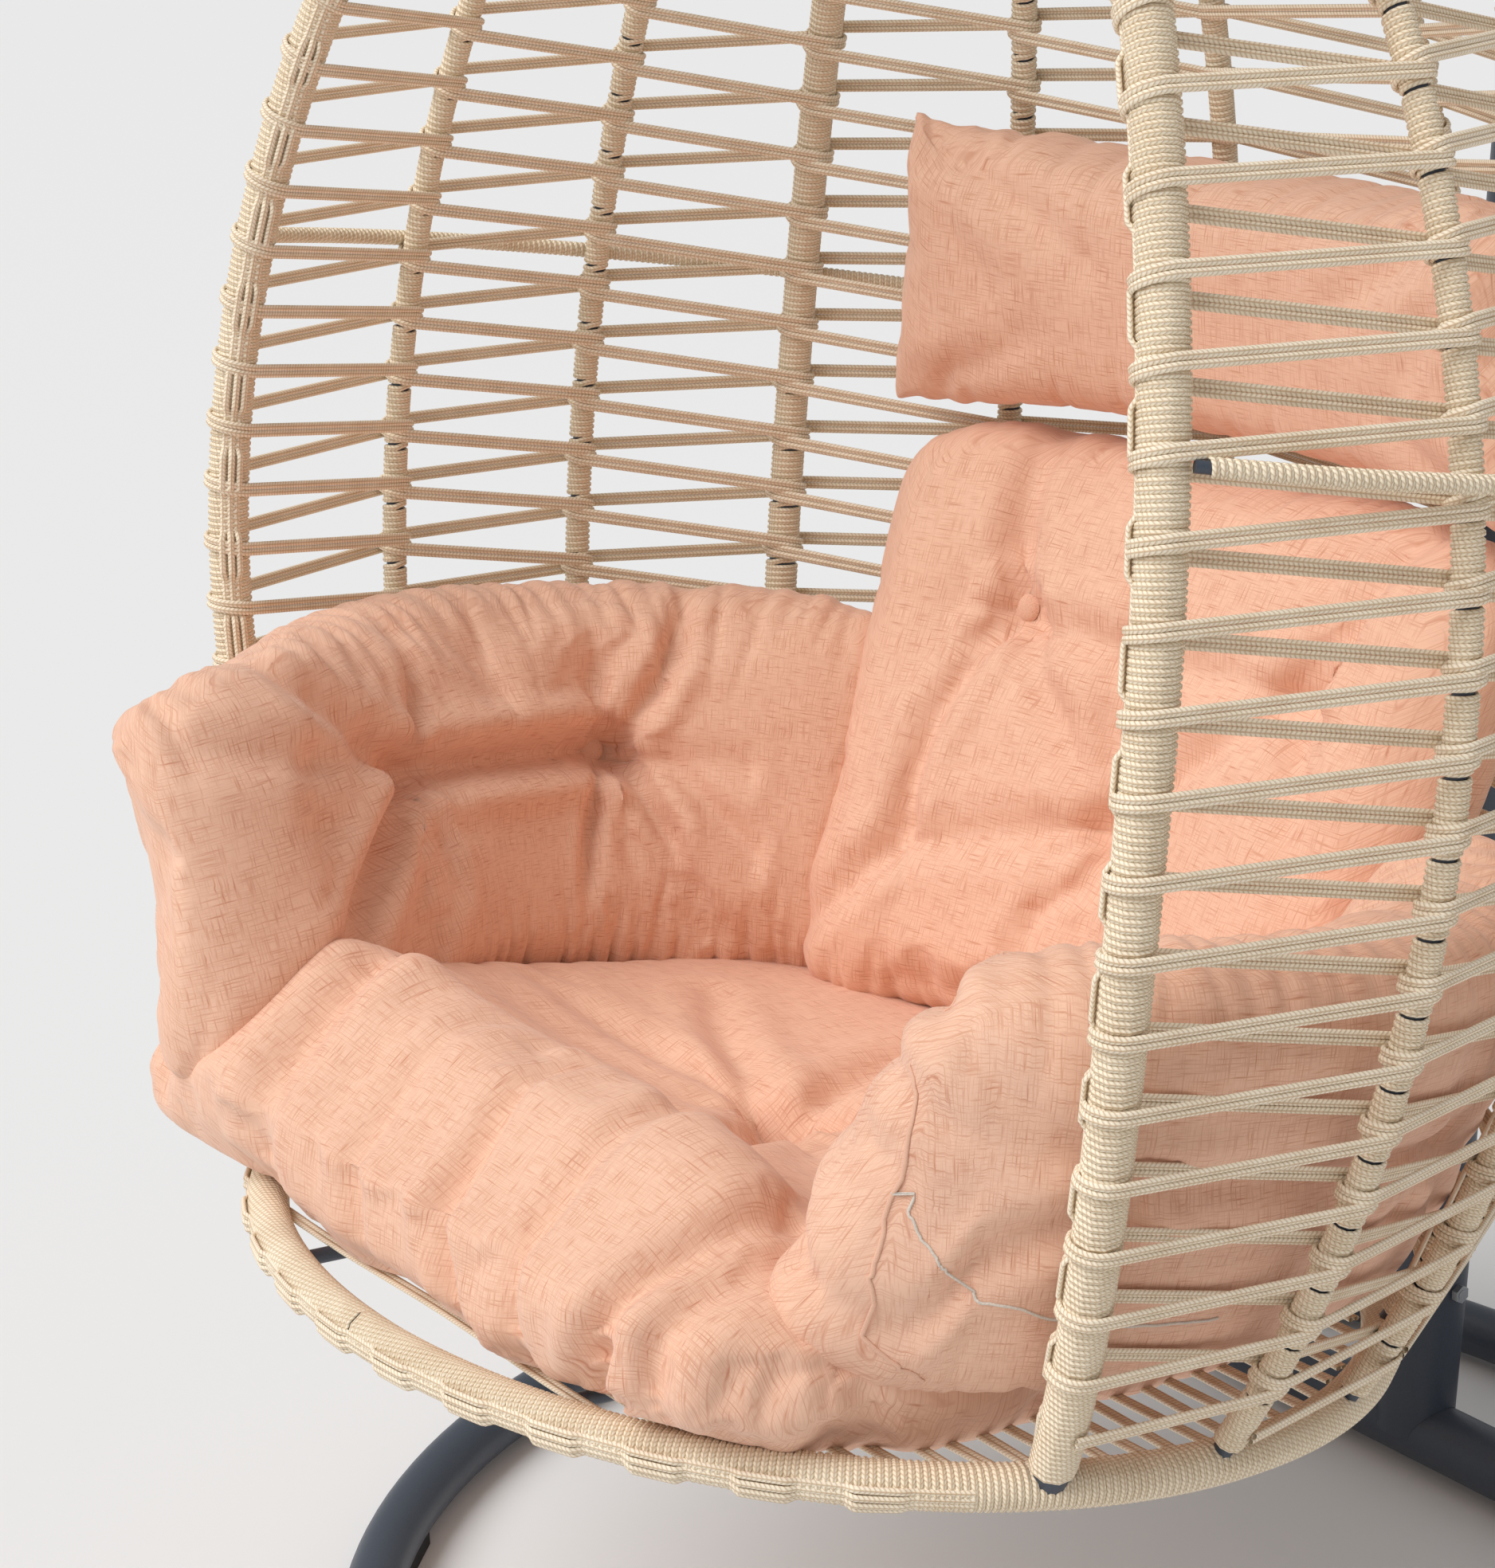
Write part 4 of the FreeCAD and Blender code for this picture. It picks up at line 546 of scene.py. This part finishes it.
def star(u, v, site, rays, depth, turn, dimple=0.005):
    """A button's pull: a dimple 1 / (1 + r^2 / w^2) and rays |cos(n a / 2)|^8 fading as exp(-r / 0.06)."""
    r = np.hypot(u - site[0], v - site[1])
    a = np.arctan2(v - site[1], u - site[0])
    ray = np.abs(np.cos(rays * (a - turn) / 2 + 0.9 * np.sin(a + turn))) ** 8
    return -dimple / (1 + (r / 0.024) ** 2) - depth * ray * np.exp(-r / 0.06) * np.minimum(1, r / 0.014)


def gathers(u, v, edge, seed, depth=0.004, step=0.021):
    """Short gathers at scattered places along v = edge, each exp(-(x / w)^2) wide and fading inwards."""
    rng = np.random.default_rng(seed)
    place_u = np.arange(u.min(), u.max(), step)
    jitter, slant, width, length, deep = rng.uniform(
        [-0.008, -0.35, 0.004, 0.02, 0.3], [0.008, 0.35, 0.008, 0.065, 1.0], (len(place_u), 5)).T
    inside = np.abs(edge - v)[:, None]
    x = (u[:, None] - place_u - jitter - slant * inside) / width
    return -depth * np.sum(deep * np.exp(-x ** 2) * np.exp(-(inside / length) ** 2), axis=1)


# %% Cloth simulation
def puff(obj, pins, voxel, pressure=4.0, limit=0.009):
    """Remesh, hold the button places still, press the cover out, cap how far it moves, and subdivide."""
    bpy.context.view_layer.objects.active = obj
    remesh = obj.modifiers.new("remesh", "REMESH")
    remesh.mode = "VOXEL"
    remesh.voxel_size = voxel
    bpy.ops.object.modifier_apply(modifier="remesh")
    before = np.empty(len(obj.data.vertices) * 3)
    obj.data.vertices.foreach_get("co", before)
    before = before.reshape(-1, 3)
    held = obj.vertex_groups.new(name="held")
    near = np.min([np.linalg.norm(before - p, axis=1) for p in pins], axis=0) < 0.016
    held.add(np.flatnonzero(near).tolist(), 1.0, "REPLACE")
    cloth = obj.modifiers.new("cloth", "CLOTH")
    cloth.settings.vertex_group_mass = "held"
    cloth.settings.quality = 3
    cloth.settings.use_pressure = True
    cloth.settings.uniform_pressure_force = pressure
    cloth.settings.shrink_min = -0.05
    cloth.settings.effector_weights.gravity = 0
    cloth.settings.tension_stiffness = 12
    cloth.settings.bending_stiffness = 0.2
    cloth.point_cache.frame_start, cloth.point_cache.frame_end = 1, 20
    for number in range(1, 21):
        scene.frame_set(number)
    after = np.empty(len(before) * 3)
    shape = obj.evaluated_get(bpy.context.evaluated_depsgraph_get()).data
    shape.vertices.foreach_get("co", after)
    obj.modifiers.remove(cloth)
    obj.vertex_groups.clear()
    move = after.reshape(-1, 3) - before
    far = np.linalg.norm(move, axis=1, keepdims=True)
    after = before + move * np.minimum(1, limit / np.maximum(far, 1e-9))
    obj.data.vertices.foreach_set("co", after.ravel())
    scene.frame_set(1)
    print(obj.name, len(before), "vertices moved", np.round(far.mean(), 4), np.round(far.max(), 4))
    smooth = obj.modifiers.new("round", "SUBSURF")
    smooth.levels = smooth.render_levels = 1
    bpy.ops.object.modifier_apply(modifier="round")


def raise_up(p):
    """Row frame back to basket frame: the inverse of lean."""
    x, y, z = np.moveaxis(np.asarray(p, float) - [0, RING_Y, RING_Z], -1, 0)
    c, s = np.cos(TILT), np.sin(TILT)
    return np.stack([x, c * y - s * z, s * y + c * z], -1)


def on_face(p, frames, run):
    """Where points lie along a line of frames, up from it and inwards of it."""
    centre, inward, up = frames
    way = unit(np.gradient(centre, axis=0))
    i = np.argmin((np.sum(centre ** 2, 1) - 2 * p @ centre.T).astype(np.float32), axis=1)
    off = p - centre[i]
    along, high, deep = (np.sum(off * w[i], -1) for w in (way, up, inward))
    return run[i] + along, high, deep


def cloth_uv(u, v, deep):
    """Cloth coordinates in metres: along and up the face, carried on over its edges by the depth."""
    edge = np.clip(deep, -0.03, 0.03)
    return np.stack([u + edge, v + edge], -1)


def cushion(name, grid, pins, node, folds, voxel=0.0055):
    """A simulated cushion with folds, which stands for a CAD cushion; returns a tree for rays."""
    obj = mesh_from(name, [(lean(grid), np.linspace(0, 1, len(grid)))])
    puff(obj, lean(np.array(pins)), voxel)
    mesh = obj.data
    points, normals = np.empty((2, len(mesh.vertices), 3))
    mesh.vertices.foreach_get("co", points.ravel())
    mesh.vertex_normals.foreach_get("vector", normals.ravel())
    depth, uv = folds(raise_up(points), normals)
    points = points + normals * depth[:, None]
    mesh.vertices.foreach_set("co", points.ravel())
    corners = np.empty(len(mesh.loops), int)
    mesh.loops.foreach_get("vertex_index", corners)
    layer = mesh.uv_layers.get("UVMap") or mesh.uv_layers.new(name="UVMap")
    layer.data.foreach_set("uv", uv[corners].ravel())
    mesh.update()
    mesh.shade_smooth()
    place(obj, "basket", CLOTH, "cushion_fabric", node)
    return BVHTree.FromPolygons(points.tolist(), [tuple(f.vertices) for f in mesh.polygons])


sites = []


def button(tree, spot, off):
    """Note where a ray along -off meets a cover, as a place for a button."""
    off = lean(off) - lean(np.zeros(3))
    hit = tree.ray_cast((lean(spot) + 0.1 * off).tolist(), (-off).tolist())[0]
    sites.append((np.array(hit), off))


# %% [markdown]
# An arm cushion follows the wall from the back to the rim. Before the rim it runs straight for a
# little, then turns outwards. Its two buttons are joined by a deep valley. Places on its face are
# given along the wall from the rim, and up from the cushion's middle.

# %% Arm cushions
WALL_RUN, WALL_SPAN, LEAD, FLARE, ARM_IN, ARM_T = 0.650, 79.5, 0.04, np.radians(40), 0.088, 0.110
ARM_BUTTONS = {-1: ((0.0, 0.03), (0.325, 0.022)), 1: ((0.06, 0.03), (0.325, 0.022))}
ARM_FOLDS = (((-0.115, 0.15), 0.016, 0.01), ((-0.17, 0.09), 0.009, 0.0), ((-0.11, -0.07), 0.017, -0.01),
             ((-0.18, -0.10), 0.010, 0.0), ((0.008, -0.05), 0.011, 0.0), ((0.06, 0.13), 0.007, 0.0))
REAR_FOLDS = (((0.43, 0.15), 0.017, -0.02), ((0.50, 0.01), 0.009, 0.0), ((0.52, -0.05), 0.014, 0.01),
              ((0.41, -0.04), 0.012, 0.0), ((0.48, -0.11), 0.009, 0.0), ((0.27, -0.07), 0.008, 0.0),
              ((0.31, 0.13), 0.007, 0.0))


def arm_folds(u, v, side, high):
    """Depth map of an arm's face."""
    front, rear = ARM_BUTTONS[side]
    d = valley(u, v, front, rear, 0.018, 0.012, -0.006) + valley(u, v, rear, front, 0.012, 0.012, 0.006)
    for site, lines in ((front, ARM_FOLDS), (rear, REAR_FOLDS)):
        d += star(u, v, site, 7, 0.005, 0.4)
        d += sum(valley(u, v, site, tip, depth, 0.012, bow) for tip, depth, bow in lines)
    return d + gathers(u, v, high / 2, 5 + side, 0.006) + gathers(u, v, -high / 2, 9 + side, 0.006)


ARMS = ((-1, "left", 0.178, 0.296, 0.215, 0.0),
        (1, "right", 0.162, 0.285, 0.108, 0.24))
for side, word, middle, high, reach, slant in ARMS:
    run = np.linspace(-reach, WALL_RUN, 200)
    centre, inward, up = wall_frame(side * (63.5 + WALL_SPAN * np.maximum(run, 0) / WALL_RUN), middle, ARM_IN)
    rim = np.argmax(run >= 0)
    before_rim = wall_frame(side * np.array([63.0, 63.5]), middle, ARM_IN)[0]
    ahead = unit(before_rim[0] - before_rim[1])
    straight = np.minimum(np.maximum(-run, 0), LEAD)[:, None]
    bend = (reach - LEAD) / FLARE
    turn = (np.maximum(-run, 0)[:, None] - straight) / bend
    centre = centre + ahead * straight + (ahead * np.sin(turn) - inward[rim] * (1 - np.cos(turn))) * bend
    inward = np.where(run[:, None] < 0, inward[rim] * np.cos(turn) + ahead * np.sin(turn), inward)
    up = up - ahead * slant * np.clip((0.08 - run) / 0.12, 0, 1)[:, None]
    frames = (centre, inward, up)
    places = []
    for at, rise in ARM_BUTTONS[side]:
        i = np.argmin(np.abs(run - at))
        places.append((centre[i] + up[i] * rise + inward[i] * ARM_T / 2, inward[i]))

    def folds(p, normals):
        """The arm's map, weaker on the side towards the wall."""
        u, v, deep = on_face(p, frames, run)
        return arm_folds(u, v, side, high) * np.clip(0.7 + deep / 0.08, 0.4, 1), cloth_uv(u, v, deep)

    grid, pins = pulled(cushion_grid(frames, ARM_T, high, 10.0, 0.62), places)
    cover = cushion(f"arm_{word}", grid, pins, f"arm_cushion_{word}", folds, 0.0063)
    for spot, off in places:
        button(cover, spot, off)
print("arms")

# %% Seams of the right arm
ZIP = plain("zip_tape", rgb(216, 206, 194), 0.0, 0.8)
SEAM = ((0.345, -0.14, 0.31), (0.345, -0.185, 0.287), (0.345, -0.22, 0.239), (0.345, -0.25, 0.168),
        (0.345, -0.26, 0.125), (0.345, -0.25, 0.09), (0.345, -0.2, 0.045))
ZIP_LINE = ((0.36, -0.275, 0.185), (0.37, -0.235, 0.15), (0.38, -0.2, 0.12), (0.41, -0.13, 0.1),
            (0.45, -0.06, 0.09))


def seam(name, points, width, material):
    """A thin strip on the cover: points along a line, each moved to the nearest place on the cover."""
    share = np.linspace(0, 1, 70)
    line = np.stack([np.interp(share, np.linspace(0, 1, len(points)), c) for c in np.transpose(points)], -1)
    near = [cover.find_nearest(p) for p in lean(line).tolist()]
    spot, normal = (np.array([n[k] for n in near]) for k in (0, 1))
    side = np.cross(np.gradient(spot, axis=0), normal)
    strip = mesh_from(name, [tube(spot + 0.0004 * normal, side, width, 0.0016, 8)])
    place(strip, "basket", material, "cushion_fabric")


seam("seam_right", SEAM, 0.003, CLOTH)
seam("zip_right", ZIP_LINE, 0.0018, ZIP)
print("seams")

# %% [markdown]
# The back cushion stands on the seat, so its foot comes forwards. The head pillow has pointed
# corners and thin edges, so it keeps its height right to its ends.

# %% Back cushion and head pillow
BACK_MID, BACK_HIGH, BACK_T, WALL_R, STEP = 0.268, 0.41, 0.124, 0.41, 0.085
BACK_BUTTONS = ((-0.15, 0.08), (0.15, 0.08), (0.0, -0.046))
angle = np.linspace(219, 145, 190)
run = -WALL_R * np.radians(angle - 180)
frames = wall_frame(angle, BACK_MID, 0.022 + BACK_T / 2)
grid = cushion_grid(frames, BACK_T, BACK_HIGH, 10.0, 0.72)
low = np.clip((BACK_MID + BACK_HIGH / 2 - grid[..., 2]) / BACK_HIGH, 0, 1)
grid = grid - STEP * low[..., None] ** 1.4 * np.array([0, 1, 0])


def back_folds(p, normals):
    """The back's map: its buttons, valleys between them and one pinch at the lower left."""
    low = np.clip((BACK_MID + BACK_HIGH / 2 - p[..., 2]) / BACK_HIGH, 0, 1)
    u, v, deep = on_face(p + STEP * low[..., None] ** 1.4 * np.array([0, 1, 0]), frames, run)
    first, second, third = BACK_BUTTONS
    pinch = (-0.185, -0.085)
    d = sum(star(u, v, site, 6, 0.005, 0.9) for site in BACK_BUTTONS)
    d += star(u, v, pinch, 5, 0.005, 0.2, 0.012)
    for a, b, depth, bow in (
            (first, (-0.17, 0.21), 0.014, 0.01), (pinch, first, 0.016, 0.02),
            (pinch, (-0.27, -0.17), 0.013, 0.0), (first, third, 0.012, 0.0), (second, third, 0.012, 0.0),
            (first, second, 0.010, -0.01), (second, (0.19, 0.21), 0.012, 0.0), (third, pinch, 0.008, 0.0),
            (third, (0.02, -0.2), 0.010, 0.0), (second, (0.24, -0.05), 0.010, 0.0)):
        d += valley(u, v, a, b, depth, 0.013, bow)
    d += gathers(u, v, BACK_HIGH / 2, 21, 0.004) + gathers(u, v, -BACK_HIGH / 2, 22, 0.004)
    return d * np.clip(0.6 + deep / 0.08, 0.3, 1), cloth_uv(u, v, deep)


places = []
for at, rise in BACK_BUTTONS:
    i = np.argmin(np.abs(run - at))
    centre, inward, up = (w[i] for w in frames)
    drop = np.clip(0.5 - rise / BACK_HIGH, 0, 1)
    places.append((centre + up * rise + inward * BACK_T / 2 - np.array([0, STEP * drop ** 1.4, 0]), inward))
grid, pins = pulled(grid, places)
cover = cushion("back_cover", grid, pins, "back_cushion", back_folds, 0.0066)
for spot, off in places:
    button(cover, spot, off)
angle = np.linspace(221, 139, 190)
pillow_run = -WALL_R * np.radians(angle - 180)
PILLOW_MID, PILLOW_IN, PILLOW_T, PILLOW_HIGH = 0.606, 0.066, 0.1, 0.19
pillow = wall_frame(angle, PILLOW_MID, PILLOW_IN)


def pillow_folds(p, normals):
    """The pillow's map: long soft folds from its corners and gathers at its edges."""
    u, v, deep = on_face(p, pillow, pillow_run)
    d = gathers(u, v, 0.1, 31, 0.0035, 0.034) + gathers(u, v, -0.1, 32, 0.0035, 0.034)
    for x in (-1, 1):
        for tip, depth in (((0.12, 0.03), 0.008), ((0.16, 0.06), 0.006), ((0.2, -0.02), 0.005)):
            d += valley(u, v, (x * 0.285, 0.1), (x * tip[0], tip[1]), depth, 0.014)
        d += valley(u, v, (x * 0.28, -0.09), (x * 0.17, -0.03), 0.007, 0.013)
    return d, cloth_uv(u, v, deep)


rest = pillow[0][95] - pillow[1][95] * PILLOW_T / 2
grid = cushion_grid(pillow, PILLOW_T, PILLOW_HIGH, 2.6, 0.86, 0.5, 0.26)
cushion("pillow_cover", grid, [rest], "head_pillow", pillow_folds, 0.0058)
print("back and pillow")

# %% [markdown]
# The seat is flat below, dished on top, and swells into a roll along the front. Its left front
# corner is pointed, and a deep valley parts it from the roll.

# %% Seat cushion
SEAT_HALF, SEAT_FRONT, SEAT_BACK, SEAT_FOOT = 0.322, 0.326, 0.24, 0.003
SEAT_TOP, ROLL_HIGH, LOBE_HIGH, LIP_HIGH = 0.080, 0.070, 0.032, 0.018
SEAT_BUTTON, UP = (0.0, -0.032), np.array([0, 0, 1.0])
x = np.linspace(-1, 1, 190)[:, None]
t = np.linspace(0, 2 * np.pi, 180, endpoint=False)[None]
spread = np.sqrt(1 - 0.64 * np.abs(x) ** 7)
front = -SEAT_FRONT * np.sqrt(1 - np.where(x < 0, 0.12, 0.64) * np.abs(x) ** 7)
back = SEAT_BACK * spread
y = (front + back) / 2 + (back - front) / 2 * power(np.cos(t), 0.55)
share = (y - front) / (back - front)
roll = np.exp(-((share - 0.19) / 0.115) ** 2) * np.exp(-(np.maximum(np.abs(x + 0.02) - 0.5, 0) / 0.3) ** 2)
lobe = np.exp(-((x + 0.8) / 0.28) ** 2) * np.exp(-((share - 0.32) / 0.3) ** 2)
top = SEAT_TOP * (0.66 + 0.34 * spread) + ROLL_HIGH * roll + LOBE_HIGH * lobe
shut = np.minimum(1, 14 * (1 - np.abs(x)) + 0.1) ** 0.5
z = SEAT_FOOT + top * (0.5 + 0.5 * shut * power(np.sin(t), 0.5))
z = z + LIP_HIGH * np.exp(-(share / 0.12) ** 2) * np.clip(np.abs(x) / 0.3 - 1, 0, 1)
seat = closed(np.stack([SEAT_HALF * x - 0.008 + 0 * y, y, z], -1))


def seat_folds(p, normals):
    """The seat's map: rays from the button, the lobe's valley, the roll's back and tucks in its front."""
    u, v = p[..., 0], p[..., 1]
    d = star(u, v, SEAT_BUTTON, 7, 0.006, 0.3)
    for a, b, depth, width, bow in (
            ((-0.20, -0.20), (-0.165, -0.34), 0.020, 0.016, 0.0),
            ((-0.21, -0.19), (-0.05, -0.14), 0.014, 0.016, 0.01),
            ((-0.05, -0.14), (0.2, -0.16), 0.012, 0.018, 0.0),
            (SEAT_BUTTON, (-0.2, 0.06), 0.013, 0.013, 0.01), (SEAT_BUTTON, (-0.06, 0.16), 0.011, 0.013, 0.0),
            (SEAT_BUTTON, (0.12, 0.12), 0.011, 0.013, 0.0), (SEAT_BUTTON, (-0.24, -0.06), 0.010, 0.013, 0.0),
            (SEAT_BUTTON, (0.1, -0.2), 0.012, 0.013, 0.0)):
        d += valley(u, v, a, b, depth, width, bow)
    for at, skew, depth in ((-0.05, 0.2, 0.008), (0.06, 0.35, 0.014), (0.12, 0.1, 0.010),
                            (0.18, -0.3, 0.015), (0.24, 0.0, 0.012)):
        d += valley(u + skew * p[..., 2], v, (at, -0.35), (at, -0.2), depth, 0.011)
    d += gathers(u, v, -0.32, 41, 0.0025, 0.09) + gathers(v, u, -0.32, 42, 0.004, 0.06)
    seen = np.clip(0.45 + 1.2 * normals[..., 2] - 0.8 * normals[..., 1], 0.1, 1)
    hang = np.clip((-0.2 - v) / 0.1, 0, 1) * (p[..., 2] - 0.12)
    return d * seen, np.stack([u, v + hang], -1)


spot = np.array([*SEAT_BUTTON, 0.086])
seat, pins = pulled(seat, [(spot, UP)])
cover = cushion("seat_cover", seat, pins, "seat_cushion", seat_folds, 0.0072)
button(cover, spot, UP)
print("seat")

# %% Buttons
BUTTON_R, BUTTON_HIGH, BUTTON_SUNK = 0.0105, 0.005, 0.001
r = np.linspace(0, 1, 8)[:, None]
t = np.linspace(0, 2 * np.pi, 24, endpoint=False)[None]
caps = []
for spot, off in sites:
    u = unit(np.cross(off, [0.3, 0.2, 1.0]))
    v = np.cross(off, u)
    ring = BUTTON_R * r[..., None] * (np.cos(t)[..., None] * u + np.sin(t)[..., None] * v)
    dome = spot - off * BUTTON_SUNK + ring + off * BUTTON_HIGH * np.sqrt(1 - 0.98 * r ** 2)[..., None]
    caps.append((dome, np.linspace(0, 0.01, 8)))
place(mesh_from("button_caps", caps), "basket", CLOTH, "cushion_fabric", "cushion_buttons")
print("buttons", len(caps))

# %% [markdown]
# ## Stage
#
# A pale floor, an even sky with one very wide soft light above the front, and the camera where the
# photograph was taken.

# %% Floor and light
def pose_of(right, ahead, where):
    """Matrix of a lamp or camera that looks ahead from a place."""
    rows = np.column_stack([right, np.cross(right, ahead), -ahead, where])
    return Matrix(np.vstack([rows, [0, 0, 0, 1]]))


bpy.ops.mesh.primitive_plane_add(size=60, location=(0, 0, -0.0005))
floor = bpy.context.object
pale, tree, shader = tree_of("floor")
shader.inputs["Base Color"].default_value = (*rgb(234, 234, 234), 1)
shader.inputs["Roughness"].default_value = 0.9
floor.data.materials.append(pale)
sun = bpy.data.lights.new("window", "SUN")
sun.energy, sun.angle = 2.4, np.radians(45)
lamp = bpy.data.objects.new("window", sun)
aim = unit(np.array([0.1, 0.66, -0.8]))
right = unit(np.cross(aim, [0, 0, 1]))
lamp.matrix_world = pose_of(right, aim, [0, 0, 3])
scene.collection.objects.link(lamp)
world = bpy.data.worlds.new("studio")
scene.world = world
world.use_nodes = True
world.node_tree.nodes["Background"].inputs[0].default_value = (1, 1, 1, 1)
world.node_tree.nodes["Background"].inputs[1].default_value = 0.42

# %% Camera
PHOTO_W, PHOTO_H, FOCAL_PIXELS, SENSOR = 1876, 1968, 4516.3, 36
yaw, pitch, roll = 0.9321, 0.3287, -0.0365
right = np.array([np.cos(yaw), np.sin(yaw), 0])
ahead = np.array([-np.sin(yaw) * np.cos(pitch), np.cos(yaw) * np.cos(pitch), -np.sin(pitch)])
above = np.cross(right, ahead)
x_way = np.cos(roll) * right + np.sin(roll) * above
eye = np.array([1.6911, -1.2971 + RING_Y, 1.0362 + RING_Z])
lens = bpy.data.cameras.new("camera")
lens.sensor_fit, lens.sensor_width, lens.lens = "HORIZONTAL", SENSOR, SENSOR * FOCAL_PIXELS / PHOTO_W
camera = bpy.data.objects.new("camera", lens)
camera.matrix_world = pose_of(x_way, ahead, eye)
scene.collection.objects.link(camera)
scene.camera = camera
scene.render.resolution_x, scene.render.resolution_y = PHOTO_W, PHOTO_H
scene.view_settings.view_transform = "Standard"
